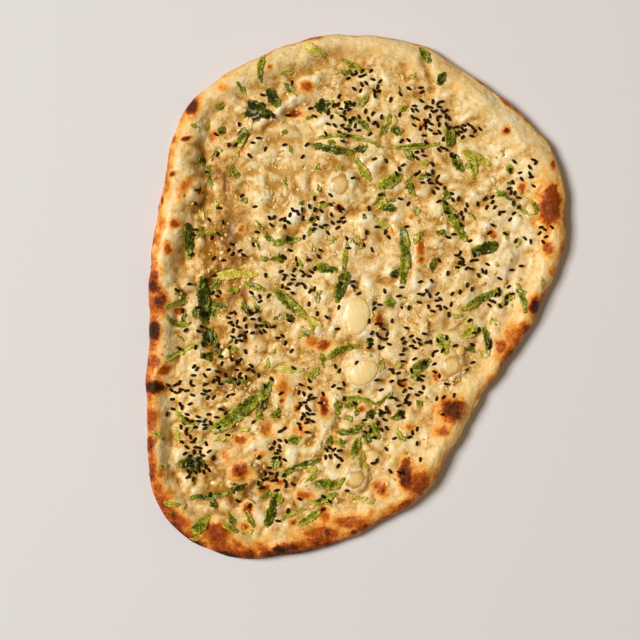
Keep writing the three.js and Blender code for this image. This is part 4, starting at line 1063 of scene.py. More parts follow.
# %% Scatter the small bits
# x, y, length and width in millimetres, heading and bend in degrees, and tint
SMALL_BITS = [
    (-71.7, 58.3, 12.7, 1.7, -83, 12, 0.15), (-75.2, 66.6, 4.4, 3.1, 60, 0, 0.12),
    (-67.5, 71.3, 4.4, 2.3, 20, 0, 0.2), (-69.9, 68.8, 4.9, 0.9, 55, 0, 0.15),
    (-59.3, 61.3, 7.8, 2.7, -62, 0, 0.25), (-66.1, 92.7, 3.9, 2.7, 30, 0, 0.3),
    (-65.5, 81.5, 4.3, 2.5, 0, 0, 0.22), (-78.3, 83, 4.9, 1.1, -15, 0, 0.4),
    (-72.8, 82.3, 4.4, 1.2, 60, 0, 0.3), (-57.6, 69.7, 2.9, 1.2, 80, 0, 0.5),
    (-34, 109.4, 7.8, 1.7, 5, 0, 0.5), (-32, 101.5, 8.8, 1.9, -42, 0, 0.25),
    (-56.3, 101.7, 7.3, 1.7, -55, 10, 0.4), (-34.6, 56.1, 4.9, 1.2, -70, 0, 0.4),
    (-35.1, 80.1, 3.9, 2, 40, 0, 0.35), (-54, 46.8, 4.5, 2.7, 50, 0, 0.35),
    (-36.8, 70.8, 3.3, 1.1, 5, 0, 0.55), (-31.9, 71.9, 4.4, 1.4, -60, 0, 0.3),
    (-20, 119.6, 11.8, 4.2, -22, 10, 0.86), (-5, 109.8, 5.9, 2.3, -10, 0, 0.25),
    (33.8, 117.4, 9.8, 3.4, -55, 0, 0.18), (41.6, 106.1, 6.3, 3.9, 62, 0, 0.04),
    (28.1, 107.8, 3.9, 0.9, 65, -60, 0.45), (21.2, 101.5, 3.9, 0.9, 88, 0, 0.35),
    (3.4, 95.1, 5.9, 2.8, 50, 0, 0.3), (-3.7, 94.2, 3.5, 2.3, 10, 0, 0.25),
    (14.2, 96.6, 5.9, 0.9, -60, 40, 0.45), (11.3, 101.9, 4.9, 0.9, 50, -40, 0.5),
    (2.7, 85.4, 13.7, 2.3, -30, -50, 0.32), (-3, 83.8, 5.9, 1.2, 55, 0, 0.15),
    (2.3, 72.2, 6.9, 3.6, 15, 0, 0.08), (25.9, 69.6, 6.9, 2.7, -68, 0, 0.2),
    (33.8, 65.5, 3.3, 2.3, 0, 0, 0.45), (13.8, 81.6, 7.3, 3.1, 55, 0, 0.38),
    (16.2, 86.5, 5.9, 1.9, 80, 0, 0.4), (19.9, 81.2, 6.4, 3.6, -35, 0, 0.18),
    (23.5, 91.8, 4.9, 1.9, 40, 0, 0.45), (26.8, 53, 7.8, 3.6, -58, 0, 0.2),
    (32.7, 58.7, 7.3, 2.5, 25, 0, 0.35), (25.7, 56.9, 4.9, 1.1, 40, 0, 0.3),
    (11.6, 48.1, 8.8, 2, 50, 10, 0.4), (14.2, 45.9, 5.9, 1.7, -75, 0, 0.5),
    (17.7, 47.2, 3.9, 1.9, 10, 0, 0.3), (57, 67.1, 8.8, 2.8, -35, 0, 0.6),
    (58.3, 60.9, 6.9, 2.3, -85, 0, 0.45), (54.8, 64.4, 3.9, 1.9, 60, 0, 0.4),
    (44.4, 49.9, 5.3, 3.1, 80, 0, 0.18), (42.9, 46.8, 3.5, 2, 30, 0, 0.2),
    (-14.9, 44.9, 8.8, 1.6, 10, -15, 0.3), (-18.4, 63.1, 3.3, 2, 80, 0, 0.45),
    (-18.2, 52.8, 3.5, 2.2, 80, 0, 0.35), (-20.6, 50.3, 3.9, 0.9, -50, 0, 0.45),
    (-8.3, 62.7, 4.9, 1.4, 30, 0, 0.5), (-12.2, 75.2, 2.9, 1.9, 0, 0, 0.35),
    (-8.7, 90, 4.9, 0.9, -10, 0, 0.4), (-11.8, 94.4, 3.9, 2.3, -50, 0, 0.5),
    (-22.4, 87.8, 3.9, 1.6, 10, 0, 0.3), (87, 44, 7.8, 2, -68, 10, 0.25),
    (82.6, 41.4, 8.8, 1.1, -30, 20, 0.4), (78.2, 44.9, 5.9, 1.2, 5, 0, 0.4),
    (70.7, 50.2, 5.9, 2.5, 0, 0, 0.3), (68.5, 53.1, 2.9, 0.9, -55, 0, 0.4),
    (74.7, 48, 5.9, 1.4, -30, 0, 0.1), (57, 39.2, 5.9, 1.6, -48, 10, 0.5),
    (40.7, 35.6, 3.9, 0.9, 5, 0, 0.35), (41.6, 31, 4.9, 2.7, 10, 0, 0.12),
    (75.1, 62.5, 4.5, 3.1, 50, 0, 0.55), (75.1, 55.5, 2.9, 1.6, 0, 0, 0.2),
    (71.8, 70, 4.4, 0.9, 80, 0, 0.45), (57.5, 63.8, 6.9, 3.1, -80, 0, 0.4),
    (57.9, 59.4, 4.9, 1.6, 60, 0, 0.4), (30.1, 41.8, 4.5, 2, 80, 0, 0.45),
    (-68.6, -3.9, 10.8, 2.8, -8, 0, 0.12), (-69.3, -7.8, 6.9, 3, 60, 0, 0.4),
    (-78.7, -8, 4.9, 1.9, 75, 0, 0.3), (-68.2, 5.8, 8.8, 2.3, 55, 0, 0.2),
    (-75.2, 5.4, 4.9, 2.3, 60, 0, 0.15), (-72.1, 31.4, 13.7, 1.6, 8, -40, 0.35),
    (-76.5, 32.7, 5.9, 1.2, 35, 0, 0.3), (-66.8, 30.5, 3.9, 1.2, -10, 0, 0.4),
    (-85.8, 1.4, 5.3, 2.3, -5, 0, 0.35), (-84.2, -10, 6.3, 1.6, 85, -30, 0.12),
    # the first bit on the next line, with the darkest tint, is partly painted shade in the shaded valley
    # inside the left rim
    (-72.8, -19.9, 10.3, 4.7, 78, 0, 0), (-72.8, -29, 6.4, 3.4, 0, 0, 0.2),
    (-44.1, -13.6, 4.3, 3.1, 60, 0, 0.2), (-53.6, -6.1, 7.8, 2.7, -60, 0, 0.2),
    (-47.9, -5.9, 5.9, 1.6, -62, 0, 0.22), (-60.2, 3.2, 5.9, 2.7, 12, 0, 0.42),
    (-38.2, 18.6, 8.8, 2.7, 5, 0, 0.12), (-44.8, 18.6, 3.9, 2.3, 0, 0, 0.45),
    (-46.7, 33.9, 7.8, 1.4, -62, 0, 0.4), (-42.8, 29.2, 6.9, 2.2, -50, 0, 0.35),
    (-48.3, 25.7, 7.8, 1.1, -62, 0, 0.22), (-48.8, 28.3, 2.9, 1.2, 30, 0, 0.4),
    (-75.2, 39.8, 5.9, 1.7, -62, 0, 0.8), (-67.9, 44.6, 3.9, 1.1, -85, 0, 0.4),
    (-27.6, 16.4, 5.9, 1.9, -68, 0, 0.45), (-21.4, 37.6, 4.9, 2.7, 40, 0, 0.3),
    (-22, 32.1, 5.9, 2.3, 60, 0, 0.35), (-59.3, -25.9, 4.3, 2.7, 20, 0, 0.42),
    (-61.1, -22, 2.9, 1.6, 60, 0, 0.3), (-86.1, -19.9, 4.9, 1.2, -35, 0, 0.4),
    (-43, -33.2, 5.3, 1.4, 80, 0, 0.45), (-39.1, -10.2, 4.3, 1.2, 38, 0, 0.4),
    (-49.9, 0.1, 5.3, 1.1, -40, 0, 0.4), (-39.9, -26.8, 3.3, 0.9, 80, 0, 0.35),
    (-24.9, -18.2, 4.9, 3.1, 30, 0, 0.28), (-20.5, -12, 9.8, 2.7, -27, 0, 0.92),
    (-21, -15.8, 4.9, 1.6, -85, 0, 0.5), (-32.4, -10.5, 4.9, 2.8, -40, 0, 0.12),
    (-26.7, 45.5, 3.9, 1.6, 30, 0, 0.4), (-81.8, 19.9, 3.9, 2, 80, 0, 0.4),
    (0.8, 25.7, 6.9, 1.4, -40, 0, 0.25), (-0.8, 28.3, 3.9, 0.9, 60, 0, 0.3),
    (-5.2, 7.2, 8.8, 1.4, 62, 10, 0.55), (-18, 0.1, 6.9, 2, -96, 0, 0.22),
    (19.9, 11.8, 6.9, 2.7, 25, 0, 0.12), (26.1, 18.2, 5.9, 1.6, 75, 0, 0.25),
    (29.6, 28.3, 4.9, 2.3, 70, 0, 0.6), (31.8, 31, 5.9, 1.6, 48, 0, 0.45),
    (37.8, 15.7, 7.8, 2, 80, 0, 0.12), (51.3, 17.7, 12.7, 0.9, 85, 30, 0.4),
    (16.9, -2.8, 5.9, 3.9, 10, 0, 0.42), (23.9, -0.8, 3.9, 0.9, 20, 0, 0.4),
    (55.2, -12.7, 4.9, 2.8, -15, 0, 0.9), (55.7, -17.5, 9.8, 4.1, 36, 15, 0.58),
    (43.3, -25.9, 4.3, 2.8, 70, 0, 0.5), (56.1, -25.7, 4.9, 2.8, 30, 0, 0.1),
    (13.2, 35.8, 7.8, 3.9, -30, 0, 0.97), (16, 43.3, 8.4, 3.4, -8, 0, 0.12),
    (11.1, 44.2, 4.9, 1.9, 60, 0, 0.4), (-11.4, 27.4, 6.5, 1.4, 42, 0, 0.55),
    (6.7, -22.4, 3.9, 2.7, 30, 0, 0.25), (-16, -31.2, 7.8, 2, -75, 0, 0.42),
    (8.4, -10, 5.3, 0.9, 88, 0, 0.4), (20.4, -33.4, 4.9, 3.1, 60, 0, 0.75),
    (12.9, -34.3, 4.9, 1.1, 60, 0, 0.6), (49.9, -9.6, 4.3, 2, 0, 0, 0.45),
    (4.1, 39.2, 3.3, 2, 60, 0, 0.12), (75.1, 0, 5.9, 2.7, 0, 0, 0.45), (71.1, -3.8, 4.5, 2.3, 40, 0, 0.5),
    (67.2, -12.1, 5.3, 1.1, 45, 0, 0.5), (91, 6.6, 5.9, 0.9, 88, 0, 0.4),
    (80.4, 26.9, 4.9, 1.1, -70, 0, 0.45), (80, 4.4, 5.9, 1.2, -60, 0, 0.4),
    (61.9, -29.5, 5.9, 0.9, -40, 60, 0.5), (28.8, -39.1, 4.9, 2.8, 0, 0, 0.35),
    (73.8, 30, 3.9, 1.9, 80, 0, 0.55), (-43.6, -45.9, 13.7, 3.6, 60, 10, 0.34),
    (-44.8, -52.3, 7.8, 2.8, 70, 0, 0.15), (-47, -55.6, 5.9, 2.7, 60, 0, 0.35),
    (-47, -58.5, 4.9, 3.1, -30, 0, 0.4), (-39.1, -57.2, 5.9, 3.3, 20, 0, 0.3),
    (-64.9, -69.4, 10.3, 1.6, 18, 0, 0.92), (-87.6, -67.9, 8.8, 1.9, -78, 10, 0.75),
    (-96.8, -67.1, 7.3, 2, -28, 0, 0.42), (-94.2, -69.1, 2.9, 1.2, -40, 0, 0.35),
    (-30.1, -70.2, 6.3, 3.9, 10, 0, 0.38), (-39.1, -81.9, 5.9, 3.9, 80, 0, 0.42),
    (-39.5, -79.2, 3.9, 2.3, 0, 0, 0.3), (-76.1, -77.9, 3.9, 2.3, 0, 0, 0.2),
    (-79.2, -84.1, 5.9, 2.3, 0, 0, 0.3), (-74.3, -70.9, 4.9, 1.6, 60, 0, 0.3),
    (-47.4, -91.6, 4.9, 2, 40, 0, 0.45), (-57.6, -93.8, 8.8, 3.1, 25, 0, 0.06),
    (-59.8, -91.8, 4.9, 1.2, -10, 0, 0.1), (-69.9, -100.8, 5.9, 3.1, -50, 0, 0.25),
    (-89.8, -101.3, 7.8, 1.9, -5, 0, 0.42), (-90.2, -105.3, 2.9, 1.2, -30, 0, 0.35),
    (-83.4, -102.2, 3.3, 0.9, 85, 0, 0.4), (-60.7, -109.2, 6.3, 2.3, -60, 0, 0.3),
    (-61.1, -112.9, 8.4, 2.5, -30, 0, 0.4), (-53, -115.8, 5.3, 1.9, 24, 0, 0.42),
    (-50.5, -100, 4.9, 1.2, -30, 0, 0.4), (-78.1, -118, 5.9, 1.6, 10, 0, 0.45),
    (-93.7, -83.6, 3.9, 1.2, -60, 0, 0.5), (-92, -83.2, 2.9, 0.9, 60, 0, 0.5),
    (-54.5, -64.7, 5.9, 1.6, 10, 0, 0.5), (-37.3, -99.5, 4.9, 2.3, 70, 0, 0.5),
    (-43.9, -96.9, 6.9, 2, 20, 0, 0.25), (-74.8, -42.6, 2.9, 1.1, 0, 0, 0.35),
    (-20.9, -38, 7.3, 3.9, 40, 0, 0.6), (-8.8, -53.2, 4.5, 3.1, 60, 0, 0.3),
    (-9, -57, 3.9, 1.9, 70, 0, 0.35), (-1.7, -53.2, 8.8, 2.8, 15, 25, 0.36),
    (0.5, -56.7, 3.9, 1.6, 60, 0, 0.25), (-3.9, -59.5, 4.5, 2, 0, 0, 0.28),
    (-9, -59.5, 2.9, 1.2, 0, 0, 0.35), (13.3, -50.6, 9.8, 1.2, 40, 10, 0.3),
    (7.5, -57.2, 4.9, 2.7, 30, 0, 0.1), (1.4, -63.5, 5.9, 2.3, 20, 0, 0.2),
    (5.3, -69.1, 5.9, 3.1, -40, 0, 0.08), (-12.7, -70.9, 5.9, 2.8, 85, 0, 0.2),
    (-7, -71.7, 5.5, 2.7, -60, 0, 0.35), (-9.7, -69.4, 3.9, 1.2, 10, 0, 0.6),
    (20.8, -58.1, 7.8, 3.6, 32, 0, 0.1), (21.8, -68.2, 6.9, 1.9, -55, 30, 0.55),
    (24.7, -69.5, 2.9, 1.1, 60, 0, 0.35), (3.1, -79.2, 7.8, 2.3, 70, 0, 0.45),
    (5.3, -83.6, 3.3, 1.6, 0, 0, 0.55), (-21.1, -88.1, 9.3, 2.2, 38, 0, 0.5),
    (-21.6, -84.1, 5.9, 2.7, 20, 0, 0.7), (-7.4, -90.7, 5.9, 2.3, 50, 0, 0.35),
    (3.1, -98.8, 6.5, 2, 0, 0, 0.45), (7.5, -100.4, 3.9, 1.1, 20, 0, 0.5),
    (-22.4, -113.6, 3.9, 0.9, -60, 0, 0.45), (-12.3, -100.8, 3.9, 0.9, -70, 30, 0.2),
    (-18.7, -101.7, 3.5, 1.6, 0, 0, 0.5), (31.2, -52.3, 4.5, 2.7, 80, 0, 0.6),
    (-1.3, -41.3, 3.9, 0.9, 88, 0, 0.5), (16.8, -48.4, 3.9, 1.4, 70, 0, 0.4),
    (24.3, -76.1, 2.9, 0.9, 0, 0, 0.5), (1.8, -45.3, 2.9, 0.9, -40, 0, 0.5),
]
BIT_TORN = 2 * TORN
SHORT_BIT = 6  # bits shorter than this, in millimetres, need fewer faces
SHORT_BIT_CUTS = 8
LONG_BIT_CUTS = 14
FLECKS = 80
FLECK_SIZES = (0.9, 2.6)
FLECK_WIDTH = 0.55  # as a share of its length
FLECK_CUTS = 4
FLECK_TORN = 0.3 * TORN
FLECK_TINTS = (0.2, 0.5)  # the least tint, and how much more it may be
FLECK_SPREAD = 0.9  # how far out they fall, as a share of the way to the edge
FLECK_START = 4711
STRIP_TIP = 0.04  # keeps the ends of a strip from closing to a point


def draws_from(start):
    """Numbers from 0 to 1 that look random and are the same each time."""
    state = start
    while True:
        state = state * 16807 % 2147483647
        yield state / 2147483647


def strip(length, width, cuts):
    """A flat cutting that narrows to both ends."""
    deselect()
    bpy.ops.mesh.primitive_grid_add(x_subdivisions=cuts, y_subdivisions=max(3, cuts // 2), size=1)
    cutting = bpy.context.object
    spots = corners_of(cutting)
    spots[:, 1] *= np.clip(1 - (2 * spots[:, 0]) ** 2, STRIP_TIP, 1) ** 0.7 * width * MM
    spots[:, 0] *= length * MM
    move_corners(cutting, spots)
    return cutting


def place_strip(cutting, x, y, length, heading, bend):
    """Bends a strip and turns it into its place."""
    spots = corners_of(cutting)
    turn = np.radians(heading + bend * spots[:, 0] / (length * MM))
    along, across = spots[:, 0].copy(), spots[:, 1].copy()
    spots[:, 0] = x * MM + along * np.cos(turn) - across * np.sin(turn)
    spots[:, 1] = y * MM + along * np.sin(turn) + across * np.cos(turn)
    move_corners(cutting, spots)


cuttings = []
for n, (bx, by, length, width, heading, bend, tint) in enumerate(SMALL_BITS):
    cutting = strip(length, width, SHORT_BIT_CUTS if length < SHORT_BIT else LONG_BIT_CUTS)
    place_strip(cutting, bx, by, length, heading, bend)
    cuttings.append(wilt(cutting, tint, 2000 + 20 * n, BIT_TORN))
fleck_draw = draws_from(FLECK_START)
for n in range(FLECKS):
    fleck_angle = 2 * math.pi * next(fleck_draw)
    fleck_out = FLECK_SPREAD * math.sqrt(next(fleck_draw)) * float(around(fleck_angle, edge_reach)) / MM
    length = FLECK_SIZES[0] + (FLECK_SIZES[1] - FLECK_SIZES[0]) * next(fleck_draw) ** 2
    cutting = strip(length, FLECK_WIDTH * length, FLECK_CUTS)
    fx, fy = fleck_out * math.cos(fleck_angle), fleck_out * math.sin(fleck_angle)
    place_strip(cutting, fx, fy, length, 360 * next(fleck_draw), 0)
    tint = FLECK_TINTS[0] + FLECK_TINTS[1] * next(fleck_draw)
    cuttings.append(wilt(cutting, tint, 4000 + n, FLECK_TORN))
bits = join_as("coriander_bits", cuttings)
print("small bits have", len(bits.data.polygons), "faces")

# %% [markdown]
# Wilted coriander is dark inside and lighter at its cut edge and its rib, with a fine net of pale veins. The
# net is the border of Voronoi cells. Butter makes it shine a little.

# %% Dye the coriander
LEAF_GLOW_REACH = 0.001
LEAF_GLINT = (1, 0.9, 0.36, 1)
LEAF_TONES = [
    (0, tone(36, 39, 0)), (0.2, tone(72, 80, 2)), (0.4, tone(126, 130, 14)),
    (0.65, tone(174, 172, 58)), (0.9, tone(214, 190, 52)), (1, tone(228, 208, 100)),
]

greens = Shader("wilted_coriander", Subsurface_Weight=0.1, Subsurface_Scale=LEAF_GLOW_REACH,
                Coat_Weight=0.22, Coat_Roughness=0.2, Specular_Tint=LEAF_GLINT)
leaf_tint = greens.attribute("tint")
leaf_inside = greens.attribute("inside")
leaf_cloud = greens.grain(1.5 * MM, 2)
leaf_fine = greens.grain(0.8 * MM, 2)
veins = 1 - greens.cells(1.5 * MM, "DISTANCE_TO_EDGE").between(0.02, 0.14)
leaf_rib = greens.attribute("rib")
leaf_shade = leaf_tint - 0.07 + (leaf_cloud - 0.5) * 1.2 + (leaf_fine - 0.5) * 0.8
leaf_shade = leaf_shade + (1 - leaf_inside) * 0.3 + veins * 0.12 + leaf_rib * 0.14
leaf_colour = greens.ramp(leaf_shade, LEAF_TONES)
leaf_bump = greens.bump(leaf_cloud - veins * 0.5, 0.35 * MM)
green_material = greens.feed(Base_Color=leaf_colour, Roughness=0.42 - leaf_cloud * 0.2, Normal=leaf_bump)
for piece in (shreds, leaves, bits):
    piece.data.materials.append(green_material)
    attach(piece, "root")
print("coriander dyed")

# %% [markdown]
# ## Chopped garlic
# Most of the garlic is chopped fine and scattered before baking, so the dough rises around it and only its
# upper half shows. One chip is a cube with broad bevels, and hundreds of copies of its corners, each dented,
# stretched and turned its own way, are written into one mesh. None lies near the edge, on a scorched place
# or under a shred, a leaf or a slice.

# %% Model one chip
CHIP_BEVEL = 0.3

deselect()
bpy.ops.mesh.primitive_cube_add(size=1)
chip = bpy.context.object
bpy.ops.object.mode_set(mode="EDIT")
bpy.ops.mesh.bevel(offset=CHIP_BEVEL, segments=1, affect="EDGES")
bpy.ops.object.mode_set(mode="OBJECT")
chip_corners = corners_of(chip)
chip_faces = [list(face.vertices) for face in chip.data.polygons]
bpy.data.objects.remove(chip)
print("a chip has", len(chip_faces), "faces")

# %% Scatter the chips
# x, y, half width and half height of a patch in millimetres, how many chips fall in it, and the longest
CHIP_PATCHES = [
    (29, -15, 9, 13, 44, 5.5), (48, -38, 10, 8, 30, 5.5), (-37, 57, 10, 14, 30, 4), (-26, 18, 14, 8, 22, 4),
    (-4, 24, 10, 7, 16, 4.5), (16, 107, 7, 5, 9, 4.5), (13, 98, 6, 5, 9, 4.5), (-12, 103, 10, 8, 12, 4),
    (-54, 88, 6, 6, 8, 5), (36, 40, 12, 9, 20, 4), (-56, 6, 9, 9, 14, 3.4), (60, 60, 12, 9, 12, 4),
    (-62, -48, 9, 6, 10, 4), (-46, -84, 8, 6, 10, 4), (10, -70, 12, 8, 14, 5), (-20, -70, 10, 8, 12, 4),
    (44, 74, 12, 6, 10, 4), (66, 6, 10, 12, 12, 4), (0, 0, 88, 108, 620, 2.8),
]
# x, y, length and width in millimetres and turn in degrees
BIG_CHIPS = [
    (21.5, 68, 6.5, 5, 40), (19, 86, 6, 4, 80), (14, 102, 5, 4.5, 10), (-68.5, -90.7, 5, 4, 0),
    (-54.6, 87, 7, 4, 20), (50, -28, 6, 3.6, 60), (46, -22, 5, 3.4, 110), (-60, -47.5, 6, 4, 30),
    (-64, -30, 8, 3.4, 80), (20, 34, 7, 3.4, 110), (-14, 82, 5, 4, 0), (-46, 12, 6, 4, 150),
    (2.6, 33.5, 3.4, 9, 10), (0, 78.5, 4, 4, 0), (-60.5, -91.5, 5.4, 5, 20),
]
CHIP_SHORTEST = 1.2
CHIP_FLATNESS = 0.5  # its height as a share of its width
CHIP_TALLEST = 1.2
CHIP_DENTS = 0.9
CHIP_TILT = 0.3
BIG_CHIP_LOW = 0.32  # how far a chip's middle lies under the skin, as a share of its height
CHIP_LOW = 0.3
CHIP_INSET = 12 * MM  # how far a chip lies inside the edge at least
CHIP_MOST_HEAT = 0.42
CHIP_START = 90210


def turned(corners, turn_z, tilt):
    """A shape tilted, then turned, by angles in radians."""
    spin = Matrix.Rotation(turn_z, 3, "Z") @ Matrix.Rotation(tilt, 3, "X")
    return corners @ np.array(spin).T


def dent(corners, seed, amount):
    """Pushes each corner of a small shape out or in."""
    pushes = [1 + amount * noise.noise(Vector(corner) * 1.3 + Vector((seed, 0, 0))) for corner in corners]
    return corners * np.array(pushes)[:, None]


def join_copies(name, corner_sets, faces):
    """Writes many shapes that have the same faces into one smooth mesh."""
    count = len(corner_sets[0])
    all_faces = [[count * n + corner for corner in face] for n in range(len(corner_sets)) for face in faces]
    mesh = bpy.data.meshes.new(name)
    mesh.from_pydata(np.concatenate(corner_sets), [], all_faces)
    piece = bpy.data.objects.new(name, mesh)
    bpy.context.scene.collection.objects.link(piece)
    activate(piece)
    bpy.ops.object.shade_smooth()
    return piece


skin_finder = KDTree(len(x))
for n in np.flatnonzero(on_top):
    skin_finder.insert((x[n], y[n], 0), int(n))
skin_finder.balance()


def heat_near(px, py):
    """How hot the skin got at a place given in millimetres."""
    return heat[skin_finder.find((px * MM, py * MM, 0))[1]]


chip_draw = draws_from(CHIP_START)
chip_places = [(*chip, BIG_CHIP_LOW) for chip in BIG_CHIPS]
for cx, cy, half_width, half_height, count, longest in CHIP_PATCHES:
    for n in range(count):
        chip_angle, chip_out = 2 * math.pi * next(chip_draw), math.sqrt(next(chip_draw))
        px = cx + half_width * chip_out * math.cos(chip_angle)
        py = cy + half_height * chip_out * math.sin(chip_angle)
        length = CHIP_SHORTEST + (longest - CHIP_SHORTEST) * next(chip_draw)
        width = length ** 0.6 * (0.7 + 0.4 * next(chip_draw))
        chip_places.append((px, py, length, width, 360 * next(chip_draw), CHIP_LOW))
inset = depth_inside([p[0] * MM for p in chip_places], [p[1] * MM for p in chip_places])
topping_tree = tree_of([shreds, leaves, *garlic_slices])
chips = []
for (px, py, length, width, turn, low), clear in zip(chip_places, inset):
    outside = math.hypot(px, py) * MM > around(math.atan2(py, px), edge_reach)
    if clear < CHIP_INSET or outside or hit_from_above(topping_tree, px * MM, py * MM):
        continue
    height = min(CHIP_FLATNESS * width, CHIP_TALLEST)
    shape = dent(chip_corners, px, CHIP_DENTS) * np.array([length, width, height]) * MM
    shape = turned(shape, math.radians(turn), CHIP_TILT * (next(chip_draw) - 0.5))
    if heat_near(px, py) > CHIP_MOST_HEAT:
        continue
    ground = height_over(skin_tree, [px * MM], [py * MM])[0]
    chips.append(shape + np.array([px * MM, py * MM, ground - low * height * MM]))
chopped_garlic = join_copies("chopped_garlic", chips, chip_faces)
chopped_garlic.data.materials.append(garlic_finish("garlic_chip_flesh", sliced=False))
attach(chopped_garlic, "root")
print(len(chips), "chips of garlic")

# %% [markdown]
# ## Nigella seeds
# Nigella seeds are black, angular and pointed at one end. They are spooned on, so they fall in clumps with a
# few strays. A coarse sphere is drawn to a point with a resize in edit mode. Its copies are turned every
# way, and each lies on whatever is highest below it, be it bread, a leaf or chopped garlic. No two lie in the
# same place, and none lies on a slice or close to the edge.

# %% Model one seed
SEED_SIZE = np.array([2.5, 1.75, 1.5])  # length, width and height in millimetres
POINTED_FROM = 0.2  # corners above this are drawn in, on a sphere one unit wide
SEED_POINT = (0.85, 0.85, 1.1)
SEED_PLUMPNESS = 0.8  # how much plumper it grows towards its ends

deselect()
bpy.ops.mesh.primitive_uv_sphere_add(segments=7, ring_count=6, radius=0.5)
seed = bpy.context.object
for corner in seed.data.vertices:
    corner.select = corner.co.z > POINTED_FROM
bpy.ops.object.mode_set(mode="EDIT")
bpy.ops.mesh.select_mode(type="VERT")
bpy.ops.transform.resize(value=SEED_POINT)
bpy.ops.object.mode_set(mode="OBJECT")
seed_corners = corners_of(seed)[:, [2, 0, 1]]
seed_corners[:, 1:] *= 1 + SEED_PLUMPNESS * seed_corners[:, :1] ** 2
seed_faces = [list(face.vertices) for face in seed.data.polygons]
bpy.data.objects.remove(seed)
print("a seed has", len(seed_faces), "faces")

# %% Sprinkle the seeds
# x, y, half width and half height of a clump in millimetres, and how many seeds fall in it
SEED_CLUMPS = [
    (36.5, 87.5, 10, 8, 52), (53.6, 81.6, 5, 4, 18), (4.6, 103.6, 8, 7, 20), (2, 86, 11, 8, 32),
    (-10, 88, 9, 9, 20), (36.5, 57, 9, 7, 18), (80.6, 59.5, 8, 8, 16), (71, 44.8, 10, 7, 18),
    (46, 44.8, 8, 8, 12), (-17.4, 40, 11, 9, 32), (-35, 36, 8, 7, 11), (-27, 8, 9, 6, 25),
    (-54, -13, 8, 8, 30), (-24.8, -53, 4, 12, 40), (-78.7, -43.4, 11, 8, 28), (-59, -38.5, 9, 7, 18),
    (-78.7, -70.3, 7, 11, 50), (-90, -50, 6, 7, 12), (-70, -60, 7, 6, 10), (-77, -84, 8, 7, 18),
    (-37, -75, 5, 5, 16), (-10.6, -77.7, 4, 5, 14), (-39.5, -90, 9, 6, 18), (10.5, -61.5, 6, 5, 14),
    (19.3, -54, 6, 6, 11), (11.5, -21.3, 5, 8, 21), (32, -24, 11, 8, 20), (40, 0, 8, 7, 16),
    (56, 15.4, 8, 6, 19), (70, -3, 5, 5, 10), (26.7, -43.4, 9, 7, 12), (92, 30, 4, 6, 9),
    (39, 67, 10, 6, 12),
]
CLUMP_SPREAD = 1.15  # how far out seeds fall in a clump, as a share of its size
LOOSE_SEEDS = 320
LOOSE_SPREAD = 0.86  # how far out loose ones fall, as a share of the way to the edge
SEED_GAP = 1.65 * MM
SEED_INSET = 6 * MM
SEED_DENTS = 0.25
SEED_TILT = 0.9
SEED_LIFT = 0.36  # how far a seed's middle lies over what is below it, as a share of its height
SEED_START = 20262
SEED_GLINT = (1, 0.5, 0.2, 1)

seed_draw = draws_from(SEED_START)
seed_places = []
for cx, cy, half_width, half_height, count in SEED_CLUMPS:
    for n in range(count):
        seed_angle, seed_out = 2 * math.pi * next(seed_draw), CLUMP_SPREAD * next(seed_draw) ** 0.6
        sx = cx + half_width * seed_out * math.cos(seed_angle)
        sy = cy + half_height * seed_out * math.sin(seed_angle)
        seed_places.append((sx, sy, 2 * math.pi * next(seed_draw)))
for n in range(LOOSE_SEEDS):
    seed_angle = 2 * math.pi * next(seed_draw)
    seed_out = LOOSE_SPREAD * math.sqrt(next(seed_draw)) * float(around(seed_angle, edge_reach)) / MM
    sx, sy = seed_out * math.cos(seed_angle), seed_out * math.sin(seed_angle)
    seed_places.append((sx, sy, 2 * math.pi * next(seed_draw)))

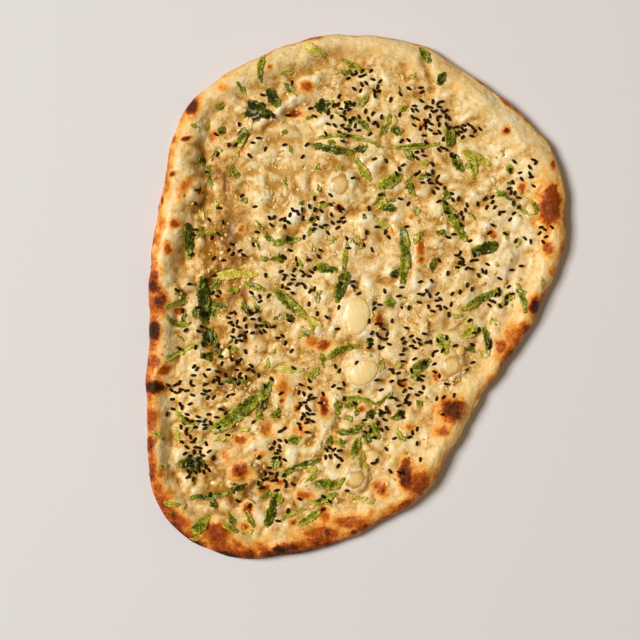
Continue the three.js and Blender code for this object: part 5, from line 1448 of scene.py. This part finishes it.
laid_tree = tree_of([bread, shreds, leaves, bits, chopped_garlic])
slice_tree = tree_of(garlic_slices)
taken = []
seeds = []
for sx, sy, heading in seed_places:
    spot = np.array([sx, sy]) * MM
    crowded = any(np.hypot(*(spot - other)) < SEED_GAP for other in taken)
    if crowded or hit_from_above(slice_tree, *spot) or depth_inside(*spot[:, None])[0] < SEED_INSET:
        continue
    taken.append(spot)
    shape = dent(seed_corners, sx, SEED_DENTS) * SEED_SIZE * MM
    shape = turned(shape, heading, SEED_TILT * next(seed_draw))
    ground = height_over(laid_tree, [spot[0]], [spot[1]])[0]
    seeds.append(shape + np.array([*spot, ground + SEED_LIFT * SEED_SIZE[2] * MM]))
nigella_seeds = join_copies("nigella_seeds", seeds, seed_faces)

black = Shader("nigella_black", Specular_IOR_Level=0.3, Specular_Tint=SEED_GLINT)
hull = black.grain(0.5 * MM, 2)
hull_colour = black.blend(hull.between(0.45, 0.8), tone(22, 7, 1), tone(48, 26, 10))
hull_bump = black.bump(hull, 0.12 * MM)
black_material = black.feed(Base_Color=hull_colour, Roughness=0.38 + hull * 0.3, Normal=hull_bump)
nigella_seeds.data.materials.append(black_material)
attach(nigella_seeds, "root")
print(len(seeds), "seeds")

# %% [markdown]
# ## Charred crumbs
# On the left the edge caught on the oven's wall, and small black crumbs of burnt dough cling to it.

# %% Burn a few crumbs
# x, y, length, width and height in millimetres and turn in degrees
CRUMBS = [
    (-99.6, 14, 2.8, 1.4, 1.3, 80), (-99.8, -12.5, 3, 1.5, 1.4, 95), (-99.9, -20.5, 3.6, 1.6, 1.4, 85),
    (-100.4, -43.4, 3.2, 2, 1.6, 60), (-100.4, -66.9, 2.4, 1.4, 1.3, 90), (-100.2, -87.5, 3.4, 1.8, 1.6, 100),
]
CRUMB_DENTS = 0.9
CRUMB_TILT = 0.2
CRUMB_LIFT = 0.5 * MM  # over the height at which the bread is widest

crumb_shapes = []
for n, (cx, cy, length, width, height, turn) in enumerate(CRUMBS):
    shape = dent(chip_corners, 7 * n, CRUMB_DENTS) * np.array([length, width, height]) * MM
    middle_height = float(around(math.atan2(cy, cx), edge_height)) + CRUMB_LIFT
    shape = turned(shape, math.radians(turn), CRUMB_TILT)
    crumb_shapes.append(shape + np.array([cx * MM, cy * MM, middle_height]))
crumbs = join_copies("charred_crumbs", crumb_shapes, chip_faces)
soot = Shader("soot", Roughness=0.8)
ash = soot.grain(1.1 * MM, 3)
ash_colour = soot.blend(ash.between(0.45, 0.75), tone(18, 10, 8), tone(84, 40, 20))
soot_material = soot.feed(Base_Color=ash_colour, Normal=soot.bump(ash, 0.5 * MM))
crumbs.data.materials.append(soot_material)
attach(crumbs, "root")
print(len(CRUMBS), "crumbs")
